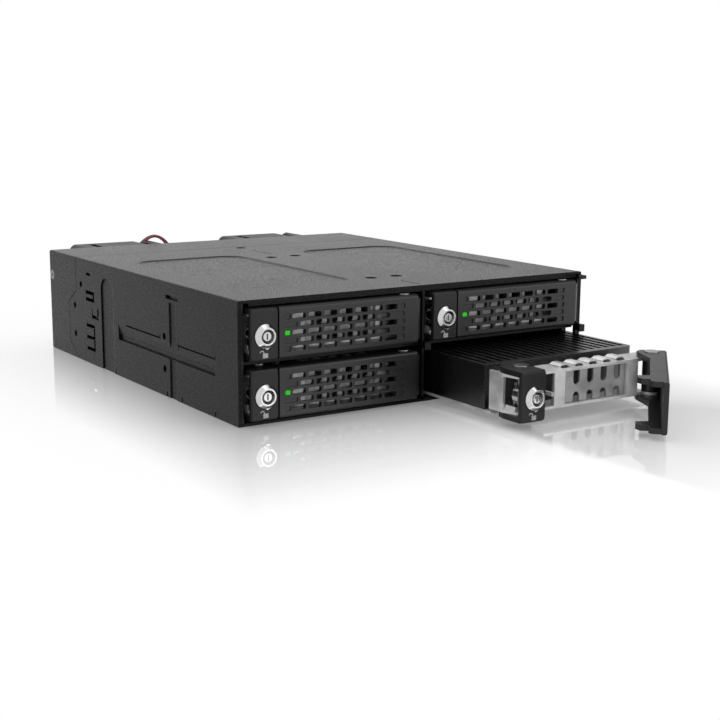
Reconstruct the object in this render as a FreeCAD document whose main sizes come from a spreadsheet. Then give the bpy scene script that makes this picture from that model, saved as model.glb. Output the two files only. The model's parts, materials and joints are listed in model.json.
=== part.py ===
import FreeCAD, Part
import math
import os
from types import SimpleNamespace

import Sketcher

# Hot swap drive cage for one 5.25 inch bay: a folded steel case with four drive trays in two
# columns and two rows, a backplane and two rear fans.
# Frame: +X right, +Y to the rear, +Z up, millimetres. The origin is the centre of the underside.
# The lower right tray stands drawn out with its handle open; the other trays are home.

SIZES = {
    # case
    "case_width": 146.0,
    "case_height": 41.3,
    "case_length": 167.0,
    "sheet": 1.0,
    "rear_cover_length": 29.3,
    "assembly_gap": 0.05,
    "seam_gap": 0.3,
    "bend_radius": 0.8,
    "lip_height": 2.1,
    "lip_corner_relief": 3.0,
    # side screw holes of a half-height drive bay
    "mount_hole_radius": 1.3,
    "mount_hole_low": 9.9,
    "mount_hole_pitch": 11.68,
    "mount_front_setback": 55.2,
    "mount_rear_setback": 140.0,
    "screw_clearance": 0.6,
    # pressed and lanced features of the shell
    "press_depth": 0.4,
    "panel_corner": 9.0,
    "panel_slope": 72.0,
    "panel_front_setback": 20.0,
    "panel_rear_setback": 112.0,
    "panel_inner_edge": 13.8,
    "panel_outer_edge": 60.5,
    "lance_width": 1.4,
    "slit_width": 0.6,
    "nick_height": 1.9,
    "tongue_depth": 8.2,
    "tongue_low": 6.1,
    "tongue_high": 22.5,
    "tongue_slope": 5.2,
    "ledge_front_setback": 16.0,
    "ledge_rear_setback": 96.0,
    "ledge_low": 14.1,
    "ledge_slot": 1.7,
    "ledge_high": 20.2,
    "ledge_press": 0.8,
    "cover_hole_radius": 2.2,
    # cage
    "tray_left": -70.0,
    "column_pitch": 72.1,
    "tray_bottom": 2.1,
    "row_pitch": 19.8,
    "shelf_gap": 1.0,
    "shelf_setback": 2.0,
    "run_gap": 0.06,
    "bead_width": 4.0,
    "bead_setback": 20.0,
    "ear_reach": 4.0,
    "ear_lip": 2.6,
    "ear_mid_lip": 1.5,
    "ear_mid_height": 2.6,
    "ear_top_height": 1.3,
    "window_height": 3.0,
    "window_length": 6.0,
    "window_setback": 1.5,
    # backplane and its connectors
    "backplane_setback": 122.0,
    "board": 1.6,
    "socket_length": 34.0,
    "socket_height": 5.0,
    "socket_depth": 6.8,
    "socket_left": 16.0,
    "socket_low": 3.2,
    "socket_tongue": 5.6,
    "socket_blade": 1.2,
    "plug_gap": 0.2,
    "data_port_width": 6.0,
    "data_port_height": 15.5,
    "data_port_depth": 8.4,
    "data_port_pitch": 7.2,
    "data_port_low": 6.0,
    "power_port_width": 25.0,
    "power_port_height": 6.5,
    "power_port_pitch": 8.4,
    "power_port_low": 23.5,
    "port_wall": 1.1,
    "port_blade": 1.2,
    # fans
    "fan_size": 40.0,
    "fan_depth": 20.0,
    "fan_offset": 36.5,
    "fan_bore": 19.0,
    "fan_corner": 3.0,
    "fan_flange": 3.6,
    "fan_hole_offset": 16.0,
    "fan_hole_radius": 1.8,
    "fan_rib": 3.2,
    "fan_hub": 10.0,
    "fan_blade_radius": 18.2,
    "fan_blade_thickness": 0.8,
    "fan_motor_plate": 3.0,
    "fan_strut": 2.0,
    "port_window_half": 14.5,
    "port_window_low": 4.0,
    "port_window_high": 37.5,
    # screws
    "screw_shank": 1.4,
    "screw_head": 2.7,
    "screw_head_height": 1.6,
    "flat_head": 2.0,
    "side_screw_height": 31.2,
    "side_screw_setback": 2.4,
    "flat_screw_length": 3.5,
    # tray
    "tray_width": 67.7,
    "tray_height": 16.8,
    "tray_length": 114.0,
    "tray_inset": 0.2,
    "front_stand": 3.3,
    "block_width": 10.1,
    "barb": 1.3,
    "arm_left_end": 6.0,
    "front_round": 0.5,
    "block_reach": 15.0,
    "door_gap": 0.3,
    "plate": 1.7,
    "arm": 1.8,
    "front_corner": 1.2,
    "face_setback": 1.9,
    "flange_depth": 11.0,
    "step_setback": 7.6,
    "lock_across": 5.3,
    "lock_up": 7.9,
    "barrel_radius": 3.5,
    "bezel_radius": 4.0,
    "bezel_height": 1.7,
    "bezel_lip": 2.9,
    "bezel_cup": 2.35,
    "cup_depth": 1.1,
    "plug_radius": 1.45,
    "keyhole_width": 0.5,
    "pointer": 4.5,
    "barrel_depth": 5.6,
    "nut_flats": 8.4,
    "nut_height": 1.8,
    "cam_length": 4.3,
    "cam_width": 4.4,
    "pin_radius": 1.0,
    "pin_head": 2.6,
    "pin_head_height": 0.5,
    "pin_recess": 0.3,
    "lock_pin_across": 7.8,
    "lock_pin_setback": 7.1,
    "handle_pin_across": 62.5,
    "handle_pin_setback": 1.9,
    "ear_radius": 3.0,
    "corner_wall_back": 13.7,
    "strip_left": 18.3,
    "strip_left_width": 4.7,
    "strip_right": 51.1,
    "strip_right_width": 5.2,
    "lock_window": 13.5,
    "grille_plate": 0.8,
    "grille_slot": 2.8,
    "grille_pitch": 6.15,
    "grille_first": 28.9,
    "grille_upper": 8.7,
    "grille_lower": 6.3,
    "louvre_pitch": 6.3,
    "louvre_first": 24.3,
    "louvre_radius": 2.3,
    "louvre_rise": 1.2,
    "louvre_setback": 3.9,
    "louvre_length": 5.2,
    "louvre_skin": 0.5,
    "sink_setback": 16.0,
    "sink_corner": 2.5,
    "groove_floor": 14.0,
    "groove_setback": 3.0,
    "sink_top": 16.1,
    "fin": 1.6,
    "fin_count": 20,
    "pipe_width": 1.5,
    "pipe_height": 1.15,
    "pipe_across": 12.85,
    "pipe_recess": 0.4,
    # handle
    "flange_reach": 5.8,
    "hook_depth": 9.9,
    "hook_start": 4.6,
    "hook_width": 6.2,
    "boss_radius": 5.2,
    "boss_slope": 12.5,
    "hinge_barrel": 3.0,
    "door_corner": 3.0,
    "corner_notch_width": 2.3,
    "corner_notch_height": 1.3,
    "vent_width": 5.0,
    "vent_height": 1.75,
    "vent_pitch": 6.05,
    "vent_row_pitch": 2.65,
    "vent_first": 15.3,
    "vent_shift": 3.05,
    "vent_middle": 8.15,
    "vent_corner": 0.5,
    "door_bend": 0.8,
    "blind_width": 2.2,
    "blind_depth": 0.4,
    # open tray
    "tray_drawn": 48.0,
    "handle_open_angle": 45.0,
    # fan lead
    "wire_radius": 0.6,
    "wire_spacing": 1.5,
}

doc = FreeCAD.newDocument("drive_cage")
sheet = doc.addObject("Spreadsheet::Sheet", "sizes")
for row_number, (size_name, size_value) in enumerate(SIZES.items(), start=1):
    sheet.set(f"A{row_number}", size_name)
    sheet.set(f"B{row_number}", str(size_value))
    sheet.setAlias(f"B{row_number}", size_name)
doc.recompute()


class Dim:
    """A length that knows its present value and the sheet expression that it follows."""

    def __init__(self, value, text):
        self.value = value
        self.text = text

    @staticmethod
    def of(item):
        return item if isinstance(item, Dim) else Dim(float(item), repr(float(item)))

    def __add__(self, other):
        other = Dim.of(other)
        return Dim(self.value + other.value, f"({self.text} + {other.text})")

    def __sub__(self, other):
        other = Dim.of(other)
        return Dim(self.value - other.value, f"({self.text} - {other.text})")

    def __mul__(self, other):
        other = Dim.of(other)
        return Dim(self.value * other.value, f"({self.text} * {other.text})")

    def __truediv__(self, other):
        other = Dim.of(other)
        return Dim(self.value / other.value, f"({self.text} / {other.text})")

    def __radd__(self, other):
        return Dim.of(other) + self

    def __rsub__(self, other):
        return Dim.of(other) - self

    def __rmul__(self, other):
        return Dim.of(other) * self

    def __neg__(self):
        return Dim(-self.value, f"(-1 * {self.text})")


d = SimpleNamespace(**{name: Dim(value, f"sizes.{name}") for name, value in SIZES.items()})
ZERO = Dim(0.0, "0")
NODES = {}


# ---------------------------------------------------------------- building helpers

def bind(item, prop, dim):
    """Tie a property of an object to the sheet."""
    item.setExpression(prop, Dim.of(dim).text)


def new_body(name):
    """Start a PartDesign body."""
    body = doc.addObject("PartDesign::Body", name)
    body.Label = name
    return body


def new_sketch(body, role, offset):
    """Start a sketch on one of the body's origin planes, moved along its normal."""
    plane = [item for item in body.Origin.OriginFeatures if item.Role == role][0]
    sketch = body.newObject("Sketcher::SketchObject", f"{body.Name}_sketch")
    sketch.AttachmentSupport = [(plane, "")]
    sketch.MapMode = "FlatFace"
    bind(sketch, "AttachmentOffset.Base.z", offset)
    return sketch


class Plan:
    """Lines, arcs and constraints of one sketch, handed over together."""

    def __init__(self):
        self.shapes = []
        self.rules = []
        self.lengths = []

    def add(self, shape):
        """Add a line, arc or circle and give its number."""
        self.shapes.append(shape)
        return len(self.shapes) - 1

    def line(self, start, end):
        """Add a straight line between two points."""
        return self.add(Part.LineSegment(start, end))

    def arc(self, middle, radius, start, turn):
        """Add an arc about a point, from an angle through a turn."""
        circle = Part.Circle(middle, FreeCAD.Vector(0, 0, 1), radius.value)
        return self.add(Part.ArcOfCircle(circle, start, start + turn))

    def spot(self, shape, end):
        """Give the start (1) or end (2) point of a line or arc."""
        item = self.shapes[shape]
        return item.StartPoint if end == 1 else item.EndPoint

    def join(self, kind, *where):
        """Add a constraint without a size."""
        self.rules.append(Sketcher.Constraint(kind, *where))

    def size(self, kind, *where):
        """Add a constraint whose last item is a sheet length."""
        *spots, length = where
        self.lengths.append((len(self.rules), length))
        self.rules.append(Sketcher.Constraint(kind, *spots, length.value))

    def pin(self, shape, end, x, y):
        """Fix a point at two sheet lengths from the sketch's origin."""
        self.size("DistanceX", -1, 1, shape, end, x)
        self.size("DistanceY", -1, 1, shape, end, y)

    def put_on(self, sketch):
        """Hand everything over to a sketch."""
        sketch.addGeometry(self.shapes, False)
        sketch.addConstraint(self.rules)
        for place, length in self.lengths:
            bind(sketch, f"Constraints[{place}]", length)


def vector(x, y):
    """Present place of two sheet lengths."""
    return FreeCAD.Vector(x.value, y.value, 0)


def draw_polygon(plan, points):
    """Draw a closed outline with sharp corners."""
    first = len(plan.shapes)
    count = len(points)
    spots = [vector(x, y) for x, y in points]
    for index in range(count):
        plan.line(spots[index], spots[(index + 1) % count])
    for index, (x, y) in enumerate(points):
        plan.join("Coincident", first + index, 2, first + (index + 1) % count, 1)
        plan.pin(first + index, 1, x, y)


def draw_rounded(plan, xs, ys, radius):
    """Draw a rectangle with four round corners."""
    low_x, high_x = xs
    low_y, high_y = ys
    centres = [
        (high_x - radius, high_y - radius), (low_x + radius, high_y - radius),
        (low_x + radius, low_y + radius), (high_x - radius, low_y + radius)]
    arcs = [plan.arc(vector(x, y), radius, quarter * math.pi / 2, math.pi / 2)
            for quarter, (x, y) in enumerate(centres)]
    for index, (x, y) in enumerate(centres):
        after = arcs[(index + 1) % 4]
        side = plan.line(plan.spot(arcs[index], 2), plan.spot(after, 1))
        plan.join("Tangent", arcs[index], 2, side, 1)
        plan.join("Tangent", side, 2, after, 1)
    for arc, (x, y) in zip(arcs, centres):
        plan.pin(arc, 3, x, y)
    plan.size("Radius", arcs[0], radius)


def draw_slot(plan, start, end, radius):
    """Draw a slot with round ends between two end centres."""
    spots = [vector(*start), vector(*end)]
    along = math.atan2(spots[1].y - spots[0].y, spots[1].x - spots[0].x)
    near = plan.arc(spots[0], radius, along + math.pi / 2, math.pi)
    far = plan.arc(spots[1], radius, along - math.pi / 2, math.pi)
    for first, second in ((near, far), (far, near)):
        side = plan.line(plan.spot(first, 2), plan.spot(second, 1))
        plan.join("Tangent", first, 2, side, 1)
        plan.join("Tangent", side, 2, second, 1)
    plan.pin(near, 3, *start)
    plan.pin(far, 3, *end)
    plan.size("Radius", near, radius)


def draw_circle(plan, x, y, radius):
    """Draw a circle."""
    shape = plan.add(Part.Circle(vector(x, y), FreeCAD.Vector(0, 0, 1), radius.value))
    plan.pin(shape, 3, x, y)
    plan.size("Radius", shape, radius)


def pairs(*numbers):
    """Turn a flat run of lengths into outline points."""
    lengths = [Dim.of(number) for number in numbers]
    return list(zip(lengths[0::2], lengths[1::2]))


def rectangle(xs, ys):
    """Give the corners of an upright rectangle."""
    return pairs(xs[0], ys[0], xs[1], ys[0], xs[1], ys[1], xs[0], ys[1])


def pad(body, role, span, draw):
    """Add material over a span along a plane's normal. XZ spans run along Y."""
    start = -1 * span[1] if role == "XZ_Plane" else Dim.of(span[0])
    sketch = new_sketch(body, role, start)
    plan = Plan()
    draw(plan)
    plan.put_on(sketch)
    feature = body.newObject("PartDesign::Pad", f"{body.Name}_pad")
    feature.Profile = sketch
    bind(feature, "Length", span[1] - span[0])
    sketch.Visibility = False
    return feature


def pocket(body, role, span, draw, slope=None):
    """Take material away over a span along a plane's normal, with walls that may slope."""
    start = -1 * Dim.of(span[0]) if role == "XZ_Plane" else Dim.of(span[1])
    sketch = new_sketch(body, role, start)
    plan = Plan()
    draw(plan)
    plan.put_on(sketch)
    feature = body.newObject("PartDesign::Pocket", f"{body.Name}_pocket")
    feature.Profile = sketch
    bind(feature, "Length", span[1] - span[0])
    if slope is not None:
        bind(feature, "TaperAngle", -1 * slope)
    return feature


def revolve(body, place, points):
    """Turn an outline of radius and Y about an upright line of the XY plane."""
    x, z = place
    sketch = new_sketch(body, "XY_Plane", z)
    bind(sketch, "AttachmentOffset.Base.x", x)
    plan = Plan()
    draw_polygon(plan, points)
    plan.put_on(sketch)
    feature = body.newObject("PartDesign::Revolution", f"{body.Name}_turned")
    feature.Profile = sketch
    feature.ReferenceAxis = (sketch, ["V_Axis"])
    feature.Angle = 360
    sketch.Visibility = False
    return feature


def cutter_grid(name, span, draw, across, up=None):
    """Make a separate body of equal cutters in one row or in a grid of rows."""
    body = new_body(name)
    body.AllowCompound = True
    first = pad(body, "XZ_Plane", span, draw)
    steps = []
    for axis, run in (("H_Axis", across), ("V_Axis", up)):
        if run is None:
            continue
        pitch, count = run
        step = doc.addObject("PartDesign::LinearPattern", f"{name}_step")
        step.Direction = (first.Profile[0], [axis])
        bind(step, "Length", pitch * (count - 1))
        step.Occurrences = count
        steps.append(step)
    grid = body.newObject("PartDesign::MultiTransform", f"{name}_grid")
    grid.Originals = [first]
    grid.Transformations = steps
    body.Tip = grid
    return body


def repeat(body, features, axis, pitch, count):
    """Repeat features of a body along an axis of the first one's sketch."""
    pattern = body.newObject("PartDesign::LinearPattern", f"{body.Name}_row")
    pattern.Originals = features
    pattern.Direction = (features[0].Profile[0], [axis])
    count = Dim.of(count)
    bind(pattern, "Length", pitch * (count - 1))
    bind(pattern, "Occurrences", count)
    body.Tip = pattern
    return pattern


def polygon_drawer(points):
    """Give a drawer for pad or pocket from outline points."""
    return lambda plan: draw_polygon(plan, points)


def circles_drawer(centres, radius):
    """Give a drawer for equal circles."""
    def draw(plan):
        for x, y in centres:
            draw_circle(plan, x, y, radius)
    return draw


def box(name, xs, ys, zs):
    """Make a Part box from three spans."""
    solid = doc.addObject("Part::Box", name)
    for axis, prop, span in zip("xyz", ("Length", "Width", "Height"), (xs, ys, zs)):
        low, high = Dim.of(span[0]), Dim.of(span[1])
        bind(solid, f"Placement.Base.{axis}", low)
        bind(solid, prop, high - low)
    return solid


TURN_TO = {
    "x": FreeCAD.Rotation(FreeCAD.Vector(0, 1, 0), 90),
    "y": FreeCAD.Rotation(FreeCAD.Vector(1, 0, 0), -90),
    "z": FreeCAD.Rotation(),
}


def cylinder(name, axis, base, radius, length):
    """Make a Part cylinder from its base point along a positive axis."""
    solid = doc.addObject("Part::Cylinder", name)
    solid.Placement = FreeCAD.Placement(FreeCAD.Vector(), TURN_TO[axis])
    for letter, value in zip("xyz", base):
        bind(solid, f"Placement.Base.{letter}", value)
    bind(solid, "Radius", radius)
    bind(solid, "Height", length)
    return solid


def cut(name, base, tools):
    """Cut tools from a base."""
    result = doc.addObject("Part::Cut", name)
    result.Base = base
    result.Tool = tools[0] if len(tools) == 1 else fuse(f"{name}_tools", tools)
    return result


def fuse(name, pieces):
    """Fuse pieces into one solid."""
    result = doc.addObject("Part::MultiFuse", name)
    result.Shapes = pieces
    return result


def group(name, pieces):
    """Hold separate solids together as one object."""
    result = doc.addObject("Part::Compound", name)
    result.Links = pieces
    return result


def keep(name, item):
    """Make an object a sub-part that is written to its own file."""
    item.Label = name
    NODES[name] = item
    return item


# ---------------------------------------------------------------- shared places

front = -1 * d.case_length / 2
rear = d.case_length / 2
half = d.case_width / 2
top = d.case_height
seam = rear - d.rear_cover_length
wall_x = half - d.sheet
cage_x = wall_x - d.sheet
cage_low = d.sheet + d.assembly_gap
cage_high = top - d.sheet - d.assembly_gap
board_y = front + d.backplane_setback
cage_rear = board_y - d.assembly_gap
shelf_low = d.tray_bottom + d.row_pitch - d.shelf_gap - d.sheet
mount_heights = [d.mount_hole_low, d.mount_hole_low + d.mount_hole_pitch]
mount_setbacks = [d.mount_front_setback, d.mount_rear_setback]
window_high = shelf_low + d.slit_width
window_span = (front + d.window_setback, front + d.window_setback + d.window_length)
window_low = window_high - d.window_height

TRAYS = [
    ("lower_left", 0, 0, False),
    ("lower_right", 1, 0, True),
    ("upper_left", 0, 1, False),
    ("upper_right", 1, 1, False),
]


def tray_origin(column, line, drawn):
    """Give the place of a tray's own origin in the case."""
    x = d.tray_left + column * d.column_pitch
    y = front - d.tray_drawn if drawn else front
    z = d.tray_bottom + line * d.row_pitch
    return x, y, z


# ---------------------------------------------------------------- case

def tongue_outline(gap):
    """Outline of the shell's side tongue that reaches over the rear cover, in Y and Z."""
    return pairs(
        seam - d.sheet, d.tongue_low - d.tongue_slope - gap,
        seam, d.tongue_low - d.tongue_slope - gap,
        seam + d.tongue_depth + gap, d.tongue_low - gap,
        seam + d.tongue_depth + gap, d.tongue_high + gap,
        seam, d.tongue_high + d.tongue_slope + gap,
        seam - d.sheet, d.tongue_high + d.tongue_slope + gap)


def u_outline(outer, high, wall):
    """Outline of a folded channel that is open below, in X and Z."""
    inner = outer - wall
    return pairs(
        -1 * outer, 0, -1 * inner, 0, -1 * inner, high - wall, inner, high - wall,
        inner, 0, outer, 0, outer, high, -1 * outer, high)


def round_edges(body, radius, chosen):
    """Round the edges of a body whose middle a test picks."""
    doc.recompute()
    base = body.Tip
    names = [f"Edge{index}" for index, edge in enumerate(base.Shape.Edges, start=1)
             if chosen(edge.CenterOfMass)]
    feature = body.newObject("PartDesign::Fillet", f"{body.Name}_round")
    feature.Base = (base, names)
    bind(feature, "Radius", radius)
    doc.recompute()


def round_long_edges(body, high, radius):
    """Round the two outer bends of a folded channel."""
    round_edges(body, radius, lambda middle: (
        abs(abs(middle.x) - half.value) < 1e-6 and abs(middle.z - high.value) < 1e-6))


def make_case_shell():
    """Top and both sides of the case, folded from one sheet."""
    body = new_body("case_shell")
    pad(body, "XZ_Plane", (front, seam), polygon_drawer(u_outline(half, top, d.sheet)))
    lip = rectangle(
        (-1 * wall_x + d.lip_corner_relief, wall_x - d.lip_corner_relief / 2),
        (top - d.lip_height, top - d.sheet))
    pad(body, "XZ_Plane", (front, front + d.sheet), polygon_drawer(lip))
    for side in ((-1 * half, -1 * wall_x), (wall_x, half)):
        pad(body, "YZ_Plane", side, polygon_drawer(tongue_outline(ZERO)))
    round_long_edges(body, top, d.bend_radius)
    press_top(body)
    press_sides(body)
    lance_sides(body)
    return keep("case_shell", body)


def press_top(body):
    """Two shallow pressed panels, the rivet holes and the two lanced slits of the top."""
    for inner, outer in ((-1, -1), (1, 1)):
        edges = sorted((inner * d.panel_inner_edge, outer * d.panel_outer_edge),
                       key=lambda edge: edge.value)
        span = (front + d.panel_front_setback, front + d.panel_rear_setback)
        pocket(body, "XY_Plane", (top - d.press_depth, top),
               lambda plan, edges=edges, span=span: draw_rounded(
                   plan, edges, span, d.panel_corner), slope=d.panel_slope)
    row_front = front + 24.9
    row_middle = front + 97.3
    row_rear = front + 133.6
    across = d.cover_hole_radius * 2.5
    holes = [(-1 * across, row_front), (across, row_front), (-1 * across, row_middle),
             (across, row_middle), (ZERO, row_rear)]
    pocket(body, "XY_Plane", (top - d.sheet, top), circles_drawer(holes, d.cover_hole_radius))
    thin = d.slit_width / 2
    slits = [(front + 2.7, front + 13.6), (front + 108.0, front + 123.5)]

    def draw(plan):
        for span in slits:
            draw_polygon(plan, rectangle((-1 * thin, thin), span))
    pocket(body, "XY_Plane", (top - d.sheet, top), draw)


def press_sides(body):
    """Pressed beads on both sides: a wide upright one and the narrow stem."""
    wide = (front + 99.7, front + 113.2)
    stem = (front + 45.8, front + 50.9)
    for side in ((-1 * half, d.press_depth - half), (half - d.press_depth, half)):
        pocket(body, "YZ_Plane", side, lambda plan: draw_rounded(
            plan, wide, (d.bend_radius * -8, Dim.of(37.2)), Dim.of(6.0)), slope=d.panel_slope)
        pocket(body, "YZ_Plane", side, polygon_drawer(rectangle(stem, (ZERO, Dim.of(34.3)))))
    span = (front + d.ledge_front_setback, front + d.ledge_rear_setback)
    for sign in (-1, 1):
        ramp = pairs(
            sign * half, d.ledge_high, sign * (half - d.ledge_press), d.ledge_low + d.ledge_slot,
            sign * half, d.ledge_low + d.ledge_slot)
        pocket(body, "XZ_Plane", span, polygon_drawer(ramp))


def lance_sides(body):
    """Slots, slits and screw holes that go through both sides."""
    both = (-1 * half, half)
    wide = d.lance_width
    near = front + 119.4
    far = front + 128.0
    step = near + wide

    def bars(*spans):
        def draw(plan):
            for ys, zs in spans:
                draw_polygon(plan, rectangle(ys, zs))
        return draw

    pocket(body, "YZ_Plane", both, polygon_drawer(pairs(
        near, 25.0, far, 25.0, far, 25.0 + wide, step, 25.0 + wide, step, 29.2 - wide,
        far, 29.2 - wide, far, 29.2, near, 29.2)))
    pocket(body, "YZ_Plane", both, polygon_drawer(pairs(
        near, 5.2, far, 5.2, far, 5.2 + wide, step, 5.2 + wide, step, 10.5 - wide / 2,
        far, 10.5 - wide / 2, far, 10.5 + wide / 2, step, 10.5 + wide / 2, step, 15.9 - wide,
        far, 15.9 - wide, far, 15.9, near, 15.9)))
    pocket(body, "YZ_Plane", both, polygon_drawer(pairs(
        near - 4.2, 18.6, near + 2.7, 18.6, near + 2.7, 22.4, near + 2.7 - wide / 2, 22.4,
        near + 2.7 - wide / 2, 18.6 + wide, near - 4.2 + wide, 18.6 + wide,
        near - 4.2 + wide, 22.9, near - 4.2, 22.9)))
    tick = d.slit_width
    slit_level = d.ledge_high
    pocket(body, "YZ_Plane", both, bars(
        ((near + 3.4, far - 1.0), (Dim.of(35.2), 35.2 + wide * 0.8)),
        ((front + 43.2, front + 53.3), (Dim.of(35.4), 35.4 + wide)),
        ((front + 59.1, front + 88.4), (slit_level, slit_level + tick)),
        ((front + 16.4, front + 43.8), (slit_level - tick, slit_level)),
    ))
    pocket(body, "YZ_Plane", both, bars(
        ((front + 59.1 - tick, front + 59.1), (slit_level, slit_level + 1.4)),
        ((front + 43.8, front + 43.8 + tick), (slit_level - 1.9, slit_level + 0.7)),
        ((front + 16.4 - tick, front + 16.4), (slit_level - 0.8, slit_level + 0.8)),
    ))
    span = (front + d.ledge_front_setback, front + d.ledge_rear_setback)
    level = (d.ledge_low, d.ledge_low + d.ledge_slot)
    pocket(body, "YZ_Plane", both, bars((span, level)))
    nick = d.slit_width * 0.7
    pocket(body, "YZ_Plane", both, bars(*(
        ((front + setback - nick, front + setback + nick), (ZERO - d.sheet, d.nick_height))
        for setback in (16.2, 41.4, 53.5, 99.4))))
    holes = [(front + setback, height) for setback in mount_setbacks for height in mount_heights]
    holes.append((front + 132.9, Dim.of(30.9)))
    pocket(body, "YZ_Plane", both, circles_drawer(holes, d.mount_hole_radius))
    pocket(body, "YZ_Plane", (wall_x, half), bars((window_span, (window_low, window_high))))


def make_case_bottom():
    """Floor of the case, with the pressed beads that carry the lower trays."""
    body = new_body("case_bottom")
    edge = wall_x - d.assembly_gap
    outline = rectangle((-1 * edge, edge), (front, rear - d.sheet - d.assembly_gap))
    pad(body, "XY_Plane", (ZERO, d.sheet), polygon_drawer(outline))
    add_floor_beads(body, d.sheet, d.tray_bottom - d.run_gap)
    return keep("case_bottom", body)


def add_floor_beads(body, low, high):
    """Two beads along each column, on which a tray runs."""
    span = (front + d.bead_setback, cage_rear - d.bead_width)

    def draw(plan):
        for column in (0, 1):
            left = d.tray_left + column * d.column_pitch
            for start in (left + d.bead_width * 2, left + d.tray_width - d.bead_width * 3):
                draw_slot(plan, (start + d.bead_width / 2, span[0]),
                          (start + d.bead_width / 2, span[1]), d.bead_width / 2)
    pad(body, "XY_Plane", (low, high), draw)


def tray_side(column, right):
    """Place of a tray's left or right running side."""
    left = d.tray_left + column * d.column_pitch
    return left + d.tray_width - d.tray_inset if right else left + d.tray_inset


def add_side_beads(body, low, high):
    """One bead beside each row of trays, between two planes of X."""
    span = (front + d.bead_setback, cage_rear - d.bead_width)

    def draw(plan):
        for line in (0, 1):
            level = d.tray_bottom + line * d.row_pitch + d.tray_height / 2
            draw_slot(plan, (span[0], level), (span[1], level), d.bead_width / 2)
    pad(body, "YZ_Plane", (low, high), draw)


def add_ears(body, inner, outer, lips):
    """Striker ears in front of a wall, from the lowest up, one for each lip."""
    middle = shelf_low + d.sheet / 2
    heights = (
        (cage_low, d.tray_bottom - d.door_gap),
        (middle - d.ear_mid_height / 2, middle + d.ear_mid_height / 2),
        (cage_high - d.ear_top_height, cage_high),
    )
    for (low, high), lip in zip(heights, lips):
        root = front + d.sheet
        tip = front - d.ear_reach
        outline = pairs(
            inner - lip, tip, outer, tip, outer, root, inner, root,
            inner, tip + d.sheet, inner - lip, tip + d.sheet)
        pad(body, "XY_Plane", (low, high), polygon_drawer(outline))


def make_cage_side(name, sign):
    """Inner side wall of the cage, with guide beads and clearance for the mounting screws."""
    body = new_body(name)
    gap = d.assembly_gap
    span = sorted((sign * (wall_x - gap), sign * cage_x), key=lambda place: place.value)
    pad(body, "YZ_Plane", span, polygon_drawer(rectangle((front, cage_rear),
                                                         (cage_low, cage_high))))
    if sign > 0:
        add_side_beads(body, tray_side(1, True) + d.run_gap, cage_x)
        add_ears(body, cage_x, wall_x - gap, (d.ear_mid_lip, d.ear_mid_lip, d.ear_lip))
        pocket(body, "YZ_Plane", (cage_x, wall_x),
               polygon_drawer(rectangle(window_span, (window_low, window_high))))
    else:
        add_side_beads(body, -1 * cage_x, tray_side(0, False) - d.run_gap)
    holes = [(front + d.mount_front_setback, height) for height in mount_heights]
    pocket(body, "YZ_Plane", (-1 * half, half),
           circles_drawer(holes, d.mount_hole_radius + d.screw_clearance))
    return keep(name, body)


def make_bay_divider():
    """Upright wall between the columns, slotted from the rear to lock into the shelf."""
    body = new_body("bay_divider")
    thick = d.sheet / 2
    outline = pairs(
        front, cage_low, cage_rear, cage_low, cage_rear, shelf_low - d.assembly_gap,
        ZERO, shelf_low - d.assembly_gap, ZERO, shelf_low + d.sheet + d.assembly_gap,
        cage_rear, shelf_low + d.sheet + d.assembly_gap, cage_rear, cage_high,
        front + d.sheet + d.assembly_gap, cage_high,
        front + d.sheet + d.assembly_gap, top - d.lip_height - d.assembly_gap,
        front, top - d.lip_height - d.assembly_gap)
    pad(body, "YZ_Plane", (-1 * thick, thick), polygon_drawer(outline))
    add_side_beads(body, tray_side(0, True) + d.run_gap, -1 * thick)
    add_side_beads(body, thick, tray_side(1, False) - d.run_gap)
    add_ears(body, -1 * thick, thick, (d.ear_mid_lip, d.ear_mid_lip))
    return keep("bay_divider", body)


def make_mid_shelf():
    """Shelf between the rows, slotted from the front to lock into the divider."""
    body = new_body("mid_shelf")
    edge = cage_x - d.assembly_gap
    slot = d.sheet / 2 + d.assembly_gap
    nose = front + d.shelf_setback
    outline = pairs(
        -1 * edge, nose, -1 * slot, nose, -1 * slot, d.assembly_gap, slot, d.assembly_gap,
        slot, nose, edge, nose, edge, cage_rear, -1 * edge, cage_rear)
    pad(body, "XY_Plane", (shelf_low, shelf_low + d.sheet), polygon_drawer(outline))
    add_floor_beads(body, shelf_low + d.sheet, d.tray_bottom + d.row_pitch - d.run_gap)
    return keep("mid_shelf", body)


def make_rear_cover():
    """Rear channel with the fan and port openings, notched for the shell's tongues."""
    body = new_body("rear_cover")
    start = seam + d.seam_gap
    pad(body, "XZ_Plane", (start, rear), polygon_drawer(u_outline(half, top, d.sheet)))
    inside = rectangle((-1 * wall_x, wall_x), (ZERO, top - d.sheet))
    pad(body, "XZ_Plane", (rear - d.sheet, rear), polygon_drawer(inside))
    round_long_edges(body, top, d.bend_radius)
    pocket(body, "YZ_Plane", (-1 * half, half), polygon_drawer(tongue_outline(d.seam_gap)))
    wall = (rear - d.sheet, rear)
    centres = [(side * d.fan_offset, top / 2) for side in (-1, 1)]
    pocket(body, "XZ_Plane", wall, circles_drawer(centres, d.fan_bore))
    holes = [(x + across * d.fan_hole_offset, z + up * d.fan_hole_offset)
             for x, z in centres for across in (-1, 1) for up in (-1, 1)]
    pocket(body, "XZ_Plane", wall, circles_drawer(holes, d.fan_hole_radius))
    pocket(body, "XZ_Plane", wall, lambda plan: draw_rounded(
        plan, (-1 * d.port_window_half, d.port_window_half),
        (d.port_window_low, d.port_window_high), d.fan_hole_radius))
    pocket(body, "YZ_Plane", (-1 * half, half),
           circles_drawer(side_screw_places(), d.flat_head + d.assembly_gap))
    return keep("rear_cover", body)


def side_screw_places():
    """Places of the flat screws in the rear cover's sides, in Y and Z."""
    return [(rear - d.side_screw_setback, d.side_screw_height)]


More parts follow.
